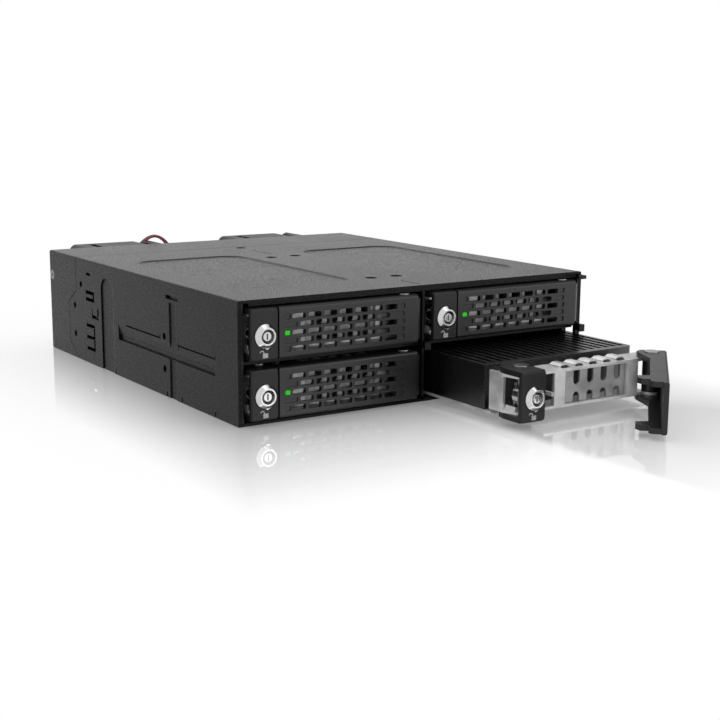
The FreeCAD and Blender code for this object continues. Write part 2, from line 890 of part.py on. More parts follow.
# ---------------------------------------------------------------- backplane

def make_backplane():
    """Circuit board that stands behind the trays, with air slots between its sockets."""
    body = new_body("backplane")
    edge = cage_x - d.assembly_gap
    pad(body, "XZ_Plane", (board_y, board_y + d.board),
        polygon_drawer(rectangle((-1 * edge, edge), (cage_low, cage_high))))

    def draw(plan):
        for name, column, line, drawn in TRAYS:
            x, y, z = tray_origin(column, line, drawn)
            middle = x + d.socket_left + d.socket_length / 2
            level = z + d.socket_low + d.socket_height + d.bead_width
            slot = (d.socket_length / 2) - d.bead_width
            draw_slot(plan, (middle - slot, level), (middle + slot, level), d.bead_width / 2)
    pocket(body, "XZ_Plane", (board_y, board_y + d.board), draw)
    return keep("backplane", body)


def make_drive_sockets():
    """Four blind-mating sockets, one behind each tray."""
    pieces = []
    for name, column, line, drawn in TRAYS:
        x, y, z = tray_origin(column, line, False)
        left = x + d.socket_left
        low = z + d.socket_low
        face = board_y - d.socket_depth
        inset = d.socket_blade + d.plug_gap
        shell = box(f"{name}_socket_shell", (left, left + d.socket_length),
                    (face, board_y), (low, low + d.socket_height))
        middle = low + d.socket_height / 2
        blade = box(f"{name}_socket_blade", (left + inset, left + d.socket_length - inset),
                    (face - d.socket_tongue, face),
                    (middle - d.socket_blade / 2, middle + d.socket_blade / 2))
        pieces.append(fuse(f"{name}_socket", [shell, blade]))
    return keep("drive_sockets", group("drive_sockets", pieces))


def port(name, xs, zs, along_z):
    """One rear connector: an open shell with a contact blade."""
    back = board_y + d.board
    depth = back + d.data_port_depth
    shell = box(f"{name}_shell", xs, (back, depth), zs)
    inside_x = (xs[0] + d.port_wall, xs[1] - d.port_wall)
    inside_z = (zs[0] + d.port_wall, zs[1] - d.port_wall)
    hollow = box(f"{name}_hollow", inside_x, (back + d.port_wall, depth), inside_z)
    if along_z:
        blade_x = (xs[0] + d.port_wall * 1.6, xs[0] + d.port_wall * 1.6 + d.port_blade)
        blade_z = (inside_z[0] + d.port_blade, inside_z[1] - d.port_blade)
    else:
        blade_x = (inside_x[0] + d.port_blade, inside_x[1] - d.port_blade)
        blade_z = (zs[0] + d.port_wall * 1.6, zs[0] + d.port_wall * 1.6 + d.port_blade)
    blade = box(f"{name}_blade", blade_x, (back + d.port_wall / 2, depth - d.port_wall), blade_z)
    return fuse(name, [cut(f"{name}_cut", shell, [hollow]), blade])


def make_data_ports():
    """Four data connectors on the rear of the backplane."""
    pieces = []
    for index in range(4):
        middle = (index - 1.5) * d.data_port_pitch
        xs = (middle - d.data_port_width / 2, middle + d.data_port_width / 2)
        zs = (d.data_port_low, d.data_port_low + d.data_port_height)
        pieces.append(port(f"data_port_{index + 1}", xs, zs, True))
    return keep("data_ports", group("data_ports", pieces))


def make_power_ports():
    """Two power connectors on the rear of the backplane."""
    pieces = []
    for index in range(2):
        low = d.power_port_low + index * d.power_port_pitch
        xs = (-1 * d.power_port_width / 2, d.power_port_width / 2)
        pieces.append(port(f"power_port_{index + 1}", xs, (low, low + d.power_port_height), False))
    return keep("power_ports", group("power_ports", pieces))


# ---------------------------------------------------------------- fans

fan_back = rear + d.fan_depth
fan_middle = top / 2


def make_fan_frame(name, centre):
    """Square fan frame: two flanges, a round barrel, corner posts, motor plate and struts."""
    side = d.fan_size / 2
    body = new_body(f"{name}_block")
    square = (centre - side, centre + side)
    tall = (fan_middle - side, fan_middle + side)
    pad(body, "XZ_Plane", (rear, fan_back),
        lambda plan: draw_rounded(plan, square, tall, d.fan_corner))
    waist = (rear + d.fan_flange, fan_back - d.fan_flange)
    for across in (-1, 1):
        for up in (-1, 1):
            x = centre + across * d.fan_hole_offset
            z = fan_middle + up * d.fan_hole_offset
            reach = d.fan_corner + d.fan_rib
            xs = sorted((x - across * reach, x + across * d.fan_size),
                        key=lambda place: place.value)
            zs = sorted((z - up * reach, z + up * d.fan_size), key=lambda place: place.value)
            waist_cut(body, waist, (centre, (x, z), xs, zs))
    pocket(body, "XZ_Plane", (rear, fan_back),
           circles_drawer([(centre, fan_middle)], d.fan_bore))
    holes = [(centre + across * d.fan_hole_offset, fan_middle + up * d.fan_hole_offset)
             for across in (-1, 1) for up in (-1, 1)]
    pocket(body, "XZ_Plane", (rear, fan_back), circles_drawer(holes, d.fan_hole_radius))
    notch = rectangle((centre + d.fan_hub, centre + d.fan_hub + d.fan_corner * 2),
                      (fan_middle + side - d.fan_rib * 0.6, fan_middle + side + d.fan_corner))
    pocket(body, "XZ_Plane", (fan_back - d.fan_flange, fan_back), polygon_drawer(notch))
    hub = cylinder(f"{name}_plate", "y", (centre, fan_back - d.fan_motor_plate, fan_middle),
                   d.fan_hub, d.fan_motor_plate)
    struts = []
    for index in range(3):
        strut = doc.addObject("Part::Box", f"{name}_strut")
        bind(strut, "Length", d.fan_bore + d.sheet / 2)
        bind(strut, "Width", d.fan_motor_plate * 0.8)
        bind(strut, "Height", d.fan_strut)
        turn = FreeCAD.Rotation(FreeCAD.Vector(0, -1, 0), 90 + 120 * index)
        strut.Placement = FreeCAD.Placement(FreeCAD.Vector(), turn)
        offset = turn.multVec(FreeCAD.Vector(0, 0, -1))
        bind(strut, "Placement.Base.x", centre + offset.x * d.fan_strut / 2)
        bind(strut, "Placement.Base.y", fan_back - d.fan_motor_plate)
        bind(strut, "Placement.Base.z", fan_middle + offset.z * d.fan_strut / 2)
        struts.append(strut)
    return keep(name, fuse(f"{name}_whole", [body, hub] + struts))


def waist_cut(body, waist, corner):
    """Open one corner between the flanges, round the barrel and leave a screw post."""
    centre, post, xs, zs = corner
    x, z = post
    across = 1 if x.value > centre.value else -1
    up = 1 if z.value > fan_middle.value else -1
    side = d.fan_size / 2
    rib = d.fan_rib
    outline = pairs(
        x + across * rib, fan_middle + up * d.fan_hub,
        centre + across * (side + d.sheet), fan_middle + up * d.fan_hub,
        centre + across * (side + d.sheet), z - up * rib,
        x + across * rib, z - up * rib)
    pocket(body, "XZ_Plane", waist, polygon_drawer(outline))
    outline = pairs(
        centre + across * d.fan_hub, z + up * rib,
        x - across * rib, z + up * rib,
        x - across * rib, fan_middle + up * (side + d.sheet),
        centre + across * d.fan_hub, fan_middle + up * (side + d.sheet))
    pocket(body, "XZ_Plane", waist, polygon_drawer(outline))


def blade_wire(radius, pitch, chord, thickness):
    """Closed section of a fan blade across a radius, cambered by an arc on each face."""
    bulge = chord * 0.09
    points = [(-chord / 2, 0), (0, bulge + thickness / 2), (chord / 2, 0),
              (0, bulge - thickness / 2)]
    turned = []
    for along, off in points:
        y = along * math.sin(pitch) + off * math.cos(pitch)
        x = along * math.cos(pitch) - off * math.sin(pitch)
        turned.append(FreeCAD.Vector(x, y, radius))
    outer = Part.Arc(turned[0], turned[1], turned[2]).toShape()
    inner = Part.Arc(turned[2], turned[3], turned[0]).toShape()
    return Part.Wire([outer, inner])


def make_fan_rotor(name, centre):
    """Fan rotor: a domed hub and seven twisted blades on the Y axis."""
    hub_radius = d.fan_hub.value - d.sheet.value / 2
    hub_front = rear.value + d.fan_motor_plate.value / 2
    hub_back = fan_back.value - d.fan_motor_plate.value - d.sheet.value / 2
    hub = Part.makeCylinder(hub_radius, hub_back - hub_front, FreeCAD.Vector(0, hub_front, 0),
                            FreeCAD.Vector(0, 1, 0))
    rim = [edge for edge in hub.Edges if abs(edge.CenterOfMass.y - hub_front) < 1e-6]
    hub = hub.makeFillet(d.fan_motor_plate.value / 2, rim)
    middle = (hub_front + hub_back) / 2
    chord = d.fan_hub.value * 1.1
    thick = d.fan_blade_thickness.value * 2
    root = blade_wire(hub_radius - d.sheet.value, math.radians(52), chord * 0.85, thick)
    tip = blade_wire(d.fan_blade_radius.value, math.radians(34), chord * 1.15, thick)
    blade = Part.makeLoft([root, tip], True)
    blade.translate(FreeCAD.Vector(0, middle, 0))
    blades = []
    for index in range(7):
        turned = blade.copy()
        turned.rotate(FreeCAD.Vector(), FreeCAD.Vector(0, 1, 0), index * 360 / 7)
        blades.append(turned)
    ring = Part.makeCylinder(d.fan_blade_radius.value, hub_back - hub_front,
                             FreeCAD.Vector(0, hub_front, 0), FreeCAD.Vector(0, 1, 0))
    rotor = hub.multiFuse([item.common(ring) for item in blades])
    feature = doc.addObject("Part::Feature", name)
    feature.Shape = rotor
    bind(feature, "Placement.Base.x", centre)
    bind(feature, "Placement.Base.z", fan_middle)
    return keep(name, feature)


def make_fan_screws():
    """Eight long screws that hold both fans to the rear cover."""
    pieces = []
    for side in (-1, 1):
        for across in (-1, 1):
            for up in (-1, 1):
                x = side * d.fan_offset + across * d.fan_hole_offset
                z = fan_middle + up * d.fan_hole_offset
                label = f"fan_screw_{len(pieces) + 1}"
                start = rear - d.sheet * 2
                shank = cylinder(f"{label}_shank", "y", (x, start, z), d.screw_shank,
                                 fan_back - start + d.screw_head_height / 2)
                head = cylinder(f"{label}_head", "y", (x, fan_back, z), d.screw_head,
                                d.screw_head_height)
                pieces.append(fuse(label, [shank, head]))
    return keep("fan_screws", group("fan_screws", pieces))


def make_case_screws():
    """Flat screws in the sides of the rear cover."""
    pieces = []
    for sign in (-1, 1):
        for y, z in side_screw_places():
            label = f"case_screw_{len(pieces) + 1}"
            outer = half if sign > 0 else -1 * wall_x
            inner = half - d.flat_screw_length if sign > 0 else -1 * half
            head = cylinder(f"{label}_head", "x", (outer - d.sheet, y, z), d.flat_head, d.sheet)
            shank = cylinder(f"{label}_shank", "x", (inner, y, z), d.screw_shank,
                             d.flat_screw_length)
            pieces.append(fuse(label, [head, shank]))
    return keep("case_screws", group("case_screws", pieces))


def wire_solid(points, radius):
    """Round wire along straight runs joined by arcs as large as the runs allow."""
    edges = []
    start = points[0]
    radii = []
    for index in range(1, len(points) - 1):
        before, corner, after = points[index - 1], points[index], points[index + 1]
        back = (before - corner)
        ahead = (after - corner)
        half_turn = (math.pi - back.getAngle(ahead)) / 2
        reach = 0.45 * min(back.Length, ahead.Length)
        radii.append(reach / math.tan(half_turn))
        enter = corner + back.normalize() * reach
        leave = corner + ahead.normalize() * reach
        towards = (enter + leave) * 0.5 - corner
        depth = reach / math.sin(math.pi / 2 - half_turn) if half_turn < math.pi / 2 else reach
        bow = corner + towards.normalize() * (
            math.hypot(radii[-1], reach) - radii[-1])
        edges.append(Part.LineSegment(start, enter).toShape())
        edges.append(Part.Arc(enter, bow, leave).toShape())
        start = leave
    edges.append(Part.LineSegment(start, points[-1]).toShape())
    path = Part.Wire(edges)
    direction = (points[1] - points[0]).normalize()
    profile = Part.Wire([Part.Circle(points[0], direction, radius).toShape()])
    solid = path.makePipeShell([profile], True, True)
    expected = math.pi * radius ** 2 * path.Length
    print(f"wire {path.Length:.1f} mm, radii", [round(value, 1) for value in radii],
          f"volume ratio {solid.Volume / expected:.4f}")
    return solid


def make_fan_leads():
    """Red and black wires from the left fan over its corner and in through the port window."""
    corner_x = -1 * d.fan_offset.value + d.fan_hub.value + d.fan_corner.value
    rim_z = fan_middle.value + d.fan_size.value / 2 - d.fan_rib.value * 0.6
    exit_y = fan_back.value - d.fan_flange.value / 2
    for index, name in enumerate(("fan_lead_red", "fan_lead_black")):
        shift = (index - 0.5) * d.wire_spacing.value
        y = exit_y + shift
        radius = d.wire_radius.value
        route = [(0, y, rim_z + radius), (4.0, y, rim_z + 4.2), (9.5, y, rim_z + 3.6),
                 (13.5, y - 1.5, rim_z - 2.0), (14.5, y - 6.0, rim_z - 7.0),
                 (14.5, y - 13.0, rim_z - 9.0), (14.5, y - 20.0, rim_z - 9.0 + shift)]
        spread = [0, 0, 0.5, 1, 1, 1, 1]
        points = [
            FreeCAD.Vector(corner_x + x + index * share * d.wire_spacing.value, py, z)
            for (x, py, z), share in zip(route, spread)]
        feature = doc.addObject("Part::Feature", name)
        feature.Shape = wire_solid(points, radius)
        keep(name, feature)


# ---------------------------------------------------------------- tray parts, in the tray's frame
# A tray's own origin is its lower left corner in the plane of the case front, at home.

ear_low = d.arm + d.assembly_gap
ear_high = d.tray_height - d.arm - d.assembly_gap
handle_x = d.handle_pin_across
handle_y = d.handle_pin_setback
stand = -1 * d.front_stand


def flange_outline(back):
    """Outline of the frame's upper and lower flange, in X and Y."""
    hinge_left = handle_x - d.hinge_barrel * 0.37
    clear_y = handle_y + d.boss_radius + d.door_corner / 2
    ear_front = stand + d.plate + d.sheet
    points = [
        (d.lock_window, d.face_setback), (hinge_left, d.face_setback), (hinge_left, clear_y)]
    if back.value > clear_y.value:
        right = d.tray_width - d.tray_inset * 4
        points += [(right, clear_y), (right, back)]
    points += [
        (d.lock_window, back), (d.tray_inset, back), (d.tray_inset, d.step_setback - d.sheet),
        (d.sheet * 1.2, ear_front + d.sheet * 1.6), (d.sheet * 3, ear_front), (d.block_width - d.sheet, ear_front),
        (d.block_width, d.face_setback)]
    return points


def make_frame_pattern():
    """Tray frame of bright sheet: floor, step, flanges, two face strips, ears and side wall."""
    body = new_body("tray_frame_pattern")
    sheet_t = d.sheet
    right = d.tray_width - d.tray_inset
    notch_x = d.lock_window
    notch_y = d.block_reach - d.front_stand + d.sheet
    floor = pairs(
        notch_x, d.step_setback + sheet_t, right, d.step_setback + sheet_t,
        right, d.tray_length, d.tray_inset, d.tray_length, d.tray_inset, notch_y,
        notch_x, notch_y)
    pad(body, "XY_Plane", (ZERO, sheet_t), polygon_drawer(floor))
    step_right = handle_x - d.hinge_barrel * 0.37
    pad(body, "XY_Plane", (ZERO, ear_low + sheet_t), polygon_drawer(rectangle(
        (notch_x, step_right), (d.step_setback, d.step_setback + sheet_t))))
    lower_back = d.step_setback + sheet_t
    pad(body, "XY_Plane", (ear_low, ear_low + sheet_t),
        polygon_drawer(flange_outline(lower_back)))
    pad(body, "XY_Plane", (ear_high - sheet_t, ear_high),
        polygon_drawer(flange_outline(d.flange_depth)))
    for low in (ear_low, ear_high - sheet_t):
        pad(body, "XY_Plane", (low, low + sheet_t),
            circles_drawer([(handle_x, handle_y)], d.ear_radius))
    levels = (ear_low, ear_high)
    face = (d.face_setback, d.face_setback + sheet_t)
    strips = [
        ((d.strip_left, d.strip_left + d.strip_left_width), face),
        ((d.strip_right, d.strip_right + d.strip_right_width), face),
    ]
    edge = d.strip_right + d.strip_right_width
    strips.append(((edge - sheet_t, edge), (face[0], face[1] + sheet_t * 1.5)))
    strips.append(((edge - sheet_t, edge + sheet_t * 1.8),
                   (face[1] + sheet_t * 0.8, face[1] + sheet_t * 1.8)))
    strips.append(((d.tray_inset, d.tray_inset + sheet_t),
                   (d.step_setback - sheet_t, d.corner_wall_back)))
    for xs, ys in strips:
        pad(body, "XY_Plane", levels, polygon_drawer(rectangle(xs, ys)))
    for x, y in ((handle_x, handle_y), (d.lock_pin_across, d.lock_pin_setback)):
        pocket(body, "XY_Plane", (ZERO, d.tray_height),
               circles_drawer([(x, y)], d.pin_radius + d.assembly_gap / 2))
    add_louvres(body)
    return body


def add_louvres(body):
    """Five half-round bridge louvres pressed up from the upper flange."""
    span = (d.louvre_setback, d.louvre_setback + d.louvre_length)
    outer = pad(body, "XZ_Plane", span, louvre_section(
        d.louvre_first, d.louvre_radius, d.louvre_rise))
    inner = pocket(body, "XZ_Plane", (span[0] - d.sheet, span[1] + d.sheet), louvre_section(
        d.louvre_first, d.louvre_radius - d.louvre_skin, d.louvre_rise - d.louvre_skin))
    repeat(body, [outer, inner], "H_Axis", d.louvre_pitch, 5)


def louvre_section(middle, half_width, rise):
    """Drawer of a low arch that stands on the underside of the upper flange."""
    base = ear_high - d.sheet
    crown = ear_high + rise
    slope = half_width * 0.45
    return polygon_drawer(pairs(
        middle - half_width, base, middle + half_width, base,
        middle + half_width, ear_high + rise * 0.45, middle + slope, crown,
        middle - slope, crown, middle - half_width, ear_high + rise * 0.45))


def make_grille_pattern():
    """Comb grille behind the face strips: four slots open above and four open below."""
    body = new_body("tray_grille_pattern")
    inset = d.sheet / 2
    xs = (d.strip_left + inset, d.strip_right + d.strip_right_width - d.sheet - d.assembly_gap)
    ys = (d.face_setback + d.sheet + d.assembly_gap,
          d.face_setback + d.sheet + d.assembly_gap + d.grille_plate)
    zs = (ear_low + d.sheet + d.assembly_gap, ear_high - d.sheet - d.assembly_gap)
    pad(body, "XZ_Plane", ys, polygon_drawer(rectangle(xs, zs)))
    radius = d.grille_slot / 2

    def draw(plan):
        for index in range(4):
            x = d.grille_first + index * d.grille_pitch
            draw_slot(plan, (x, d.grille_upper + radius), (x, zs[1] + radius * 2), radius)
            draw_slot(plan, (x, zs[0] - radius * 2), (x, d.grille_lower - radius), radius)
    pocket(body, "XZ_Plane", ys, draw)
    return body


def make_sink_pattern():
    """Finned heat sink body that covers the drive, with a recess for the drive's plug."""
    body = new_body("heat_sink_block")
    left = d.tray_inset + d.assembly_gap
    right = d.tray_width - left
    run = (d.sink_setback, d.tray_length)
    pad(body, "XY_Plane", (d.sheet, d.sink_top), polygon_drawer(rectangle((left, right), run)))
    round_edges(body, d.sink_corner, lambda middle: (
        abs(middle.y - run[0].value) < 1e-6 and abs(middle.x - right.value) < 1e-6))
    gap = d.plug_gap
    recess = rectangle((d.socket_left - gap, d.socket_left + d.socket_length + gap),
                       (d.tray_length - d.socket_tongue - d.port_wall, d.tray_length + gap))
    pocket(body, "XY_Plane", (ZERO, d.socket_low + d.socket_height + gap),
           polygon_drawer(recess))
    pitch = (right - left - d.fin) / (d.fin_count - 1)
    groove = rectangle((left + d.fin, left + pitch), (d.groove_floor, d.sink_top + d.sheet))
    grooves = cutter_grid("sink_grooves", (run[0] + d.groove_setback, run[1] + d.sheet),
                          polygon_drawer(groove), (pitch, int(d.fin_count.value) - 1))
    return cut("heat_sink_pattern", body, [grooves])


def make_plug_pattern():
    """Drive plug at the rear of the tray, with the slot that takes the socket's blade."""
    gap = d.plug_gap
    ys = (d.tray_length - d.socket_tongue - d.port_wall + gap, d.tray_length)
    xs = (d.socket_left, d.socket_left + d.socket_length)
    zs = (d.sheet + d.assembly_gap, d.socket_low + d.socket_height)
    shell = box("drive_plug_shell", xs, ys, zs)
    middle = d.socket_low + d.socket_height / 2
    thick = d.socket_blade / 2 + gap
    inset = d.socket_blade
    slot = box("drive_plug_slot", (xs[0] + inset, xs[1] - inset),
               (ys[0] + d.port_wall, ys[1] + gap), (middle - thick, middle + thick))
    return cut("drive_plug_pattern", shell, [slot])


def make_block_pattern():
    """Lock block: a front plate with two arms, open at the left, with bores for lock and pin."""
    body = new_body("lock_block_pattern")
    pad(body, "XZ_Plane", (stand, stand + d.plate), lambda plan: draw_rounded(
        plan, (ZERO, d.block_width), (ZERO, d.tray_height), d.front_corner))
    back = d.block_reach - d.front_stand
    arm = pairs(
        ZERO, stand + d.plate / 2, d.block_width, stand + d.plate / 2, d.block_width, back,
        d.sheet * 4, back, d.sheet, back - d.sheet * 2.3, ZERO, d.arm_left_end)
    for low in (ZERO, d.tray_height - d.arm):
        pad(body, "XY_Plane", (low, low + d.arm), polygon_drawer(arm))
    barb = pairs(
        d.block_width - d.sheet, d.face_setback + d.sheet, d.block_width, d.face_setback + d.sheet,
        d.block_width + d.barb, d.face_setback + d.sheet * 2.4,
        d.block_width - d.sheet, d.face_setback + d.sheet * 2.4)
    for low in (ZERO, d.tray_height - d.arm):
        pad(body, "XY_Plane", (low, low + d.arm), polygon_drawer(barb))
    round_edges(body, d.front_round, lambda middle: abs(middle.y - stand.value) < 1e-6)
    pocket(body, "XZ_Plane", (stand, stand + d.plate),
           circles_drawer([(d.lock_across, d.lock_up)], d.barrel_radius + d.assembly_gap))
    centre = [(d.lock_pin_across, d.lock_pin_setback)]
    pocket(body, "XY_Plane", (ZERO, d.tray_height),
           circles_drawer(centre, d.pin_radius + d.assembly_gap))
    pocket(body, "XY_Plane", (d.tray_height - d.pin_recess, d.tray_height),
           circles_drawer(centre, d.pin_head + d.assembly_gap * 2))
    return body


def make_pins_pattern():
    """Two headed pins: the lock block's and the handle's."""
    pieces = []
    places = (("lock_pin", d.lock_pin_across, d.lock_pin_setback),
              ("hinge_pin", d.handle_pin_across, d.handle_pin_setback))
    low = d.assembly_gap
    head_low = d.tray_height - d.pin_recess + d.assembly_gap / 2
    for name, x, y in places:
        shank = cylinder(f"{name}_shank", "z", (x, y, low), d.pin_radius, head_low - low)
        head = cylinder(f"{name}_head", "z", (x, y, head_low), d.pin_head, d.pin_head_height)
        pieces.append(fuse(name, [shank, head]))
    return group("pivot_pins_pattern", pieces)


def make_lock_pattern():
    """Key lock: turned bezel, cup and barrel on one axis, a pointer, and the cam behind."""
    body = new_body("key_lock_pattern")
    back = stand + d.plate + d.barrel_depth
    face = stand - d.assembly_gap
    crown = face - d.bezel_height
    floor = crown + d.cup_depth
    plug = floor - d.cup_depth * 0.55
    edge = face - d.bezel_height * 0.2
    revolve(body, (d.lock_across, d.lock_up), pairs(
        0, plug, d.plug_radius, plug, d.plug_radius + d.sheet * 0.15, floor,
        d.bezel_cup - d.sheet * 0.2, floor, d.bezel_cup, crown, d.bezel_lip, crown,
        d.bezel_radius, edge, d.bezel_radius, face, d.barrel_radius, face,
        d.barrel_radius, back, 0, back))
    spread = d.bezel_radius * 0.5
    base = d.lock_up - d.bezel_radius * 0.8
    middle = d.lock_across + d.sheet * 0.4
    pointer = pairs(middle - spread, base, middle, d.lock_up - d.pointer, middle + spread, base)
    pad(body, "XZ_Plane", (edge, face), polygon_drawer(pointer))
    keyhole = rectangle(
        (d.lock_across - d.keyhole_width / 2, d.lock_across + d.keyhole_width / 2),
        (d.lock_up - d.plug_radius * 0.7, d.lock_up + d.plug_radius * 0.7))
    pocket(body, "XZ_Plane", (crown, floor + d.sheet), polygon_drawer(keyhole))
    cam_x = (d.lock_across - d.cam_width / 2, d.lock_across + d.cam_width / 2)
    cam_z = (d.lock_up - d.cam_length, d.lock_up + d.cam_width / 2)
    pad(body, "XZ_Plane", (back, back + d.sheet), polygon_drawer(rectangle(cam_x, cam_z)))
    return body


def make_nut_pattern():
    """Six-sided nut that clamps the lock behind the block's plate."""
    body = new_body("lock_nut_pattern")
    start = stand + d.plate + d.assembly_gap
    reach = d.nut_flats / 2
    corner = reach / math.cos(math.pi / 6)
    outline = [
        (d.lock_across + corner * math.cos(math.pi / 3 * side + math.pi / 6),
         d.lock_up + corner * math.sin(math.pi / 3 * side + math.pi / 6))
        for side in range(6)]
    pad(body, "XZ_Plane", (start, start + d.nut_height), polygon_drawer(outline))
    pocket(body, "XZ_Plane", (start, start + d.nut_height), circles_drawer(
        [(d.lock_across, d.lock_up)], d.barrel_radius + d.assembly_gap))
    return body


def make_pipe_pattern():
    """Light pipe from the drive's indicator to the first window of the handle."""
    low = d.vent_middle - d.pipe_height / 2
    return box("light_pipe_pattern", (d.pipe_across, d.pipe_across + d.pipe_width),
               (stand + d.pipe_recess, d.sink_setback), (low, low + d.pipe_height))


# ---------------------------------------------------------------- handle, about its pin

def make_handle_pattern():
    """Swing handle: vented front plate, top and bottom flanges with hooks, and hinge barrel."""
    body = new_body("handle_pattern")
    free = d.block_width + d.door_gap - handle_x
    hinge = d.tray_width - handle_x
    face = stand - handle_y
    back = face + d.plate
    turn = d.door_corner
    tail = d.sheet * -0.5
    height = (ZERO, d.tray_height)
    pad(body, "XY_Plane", height, lambda plan: draw_handle_wall(
        plan, (free, hinge), (face, back), (turn, tail)))
    flange_back = face + d.flange_reach
    hook_back = face + d.hook_depth
    hook_x = free + d.hook_start
    hook_end = hook_x + d.hook_width
    outline = pairs(
        free + d.sheet, back - d.plate / 2, hinge - turn, back - d.plate / 2,
        hinge - turn * 0.5, ZERO, hinge - turn * 0.9, d.boss_radius * 0.75,
        ZERO, d.boss_radius, -1 * d.boss_radius * 0.5, d.boss_radius * 0.9,
        -1 * d.boss_slope, flange_back, hook_end, flange_back,
        hook_end - d.sheet, hook_back, hook_x + d.sheet * 2, hook_back,
        hook_x, hook_back - d.sheet * 1.4, hook_x, flange_back,
        free + d.sheet * 2, flange_back, free + d.sheet, flange_back - d.sheet)
    levels = ((ZERO, d.arm), (d.tray_height - d.arm, d.tray_height))
    for level in levels:
        pad(body, "XY_Plane", level, polygon_drawer(outline))
    barrel_span = (ear_low + d.sheet + d.assembly_gap, ear_high - d.sheet - d.assembly_gap)
    pad(body, "XY_Plane", barrel_span, circles_drawer([(ZERO, ZERO)], d.hinge_barrel))
    web = rectangle((-1 * d.sheet, d.sheet), (back - d.plate / 2, ZERO))
    pad(body, "XY_Plane", (d.tray_height * 0.35, d.tray_height * 0.65), polygon_drawer(web))
    pocket(body, "XY_Plane", height, circles_drawer([(ZERO, ZERO)],
                                                    d.pin_radius + d.assembly_gap))
    pocket(body, "XY_Plane", (d.tray_height - d.pin_recess, d.tray_height),
           circles_drawer([(ZERO, ZERO)], d.pin_head + d.assembly_gap * 2))
    left, right = free.value, (hinge - turn).value
    levels = (0.0, d.tray_height.value)
    round_edges(body, d.door_bend, lambda middle: (
        abs(middle.y - face.value) < 1e-6 and left < middle.x < right
        and min(abs(middle.z - level) for level in levels) < 1e-6))
    cut_corners(body, hinge, face)
    vents = make_vent_cutters(face, back)
    return cut("handle_vented", body, vents)


def draw_handle_wall(plan, xs, ys, turn):
    """Front plate that turns a round corner at the hinge end, seen from above."""
    radius, tail = turn
    free, hinge = xs
    face, back = ys
    centre = vector(hinge - radius, face + radius)
    outer = plan.arc(centre, radius, -math.pi / 2, math.pi / 2)
    inner = plan.arc(centre, radius - d.plate, -math.pi / 2, math.pi / 2)
    spots = [
        vector(free, face), plan.spot(outer, 1), plan.spot(outer, 2), vector(hinge, tail),
        vector(hinge - d.plate, tail), plan.spot(inner, 2), plan.spot(inner, 1),
        vector(free, back)]
    front_face = plan.line(spots[0], spots[1])
    side_face = plan.line(spots[2], spots[3])
    side_end = plan.line(spots[3], spots[4])
    side_back = plan.line(spots[4], spots[5])
    front_back = plan.line(spots[6], spots[7])
    free_end = plan.line(spots[7], spots[0])
    plan.join("Tangent", front_face, 2, outer, 1)
    plan.join("Tangent", outer, 2, side_face, 1)
    plan.join("Coincident", side_face, 2, side_end, 1)
    plan.join("Coincident", side_end, 2, side_back, 1)
    plan.join("Tangent", side_back, 2, inner, 2)
    plan.join("Tangent", inner, 1, front_back, 1)
    plan.join("Coincident", front_back, 2, free_end, 1)
    plan.join("Coincident", free_end, 2, front_face, 1)
    plan.join("Coincident", outer, 3, inner, 3)
    plan.pin(front_face, 1, free, face)
    plan.pin(side_face, 2, hinge, tail)
    plan.size("DistanceX", -1, 1, side_end, 2, hinge - d.plate)
    plan.size("DistanceX", -1, 1, front_back, 2, free)
    plan.size("Radius", outer, radius)


def cut_corners(body, hinge, face):
    """Notches at the hinge end that pass the cage's striker ears."""
    xs = (hinge - d.corner_notch_width, hinge + d.sheet)
    ys = (face - d.sheet, d.boss_radius + d.sheet * 2)
    for zs in ((ZERO - d.sheet, d.corner_notch_height),
               (d.tray_height - d.corner_notch_height, d.tray_height + d.sheet)):
        pocket(body, "XY_Plane", zs, polygon_drawer(rectangle(xs, ys)))


def make_vent_cutters(face, back):
    """Cutters for five rows of vent slots and for the shallow blind slots at their ends."""
    through = (face - d.sheet, back + d.sheet)
    shallow = (face - d.sheet, face + d.blind_depth)
    first = d.vent_first - handle_x
    indicator = d.pipe_across + d.pipe_width / 2 - d.blind_width / 2 - handle_x
    low = d.vent_middle - 2 * d.vent_row_pitch
    two_rows = 2 * d.vent_row_pitch

    def slot(start, width, level):
        return lambda plan: draw_rounded(
            plan, (start, start + width),
            (level - d.vent_height / 2, level + d.vent_height / 2), d.vent_corner)

    shifted = first + d.vent_shift
    end = first + 7 * d.vent_pitch
    return [
        cutter_grid("vents_even", through, slot(first, d.vent_width, low),
                    (d.vent_pitch, 7), (two_rows, 3)),
        cutter_grid("vents_odd", through, slot(shifted, d.vent_width, low + d.vent_row_pitch),
                    (d.vent_pitch, 6), (two_rows, 2)),
        cutter_grid("blind_odd", shallow,
                    slot(shifted - d.vent_pitch, d.vent_width, low + d.vent_row_pitch),
                    (7 * d.vent_pitch, 2), (two_rows, 2)),
        cutter_grid("blind_end", shallow, slot(end, d.blind_width, low),
                    (d.vent_pitch, 1), (two_rows, 3)),
        cutter_grid("blind_start", shallow, slot(indicator, d.blind_width, low),
                    (d.vent_pitch, 1), (two_rows * 2, 2)),
        cutter_grid("indicator_window", through, slot(indicator, d.blind_width, d.vent_middle),
                    (d.vent_pitch, 1)),
    ]


# ---------------------------------------------------------------- four trays from the patterns

def place_copy(pattern, name, place, angle=None):
    """Stand a copy of a tray part at its place in the case."""
    copy = doc.addObject("Part::Compound", name)
    copy.Links = [pattern]
    for letter, value in zip("xyz", place):
        bind(copy, f"Placement.Base.{letter}", value)
    if angle is not None:
        bind(copy, "Placement.Rotation.Angle", angle)
    return keep(name, copy)


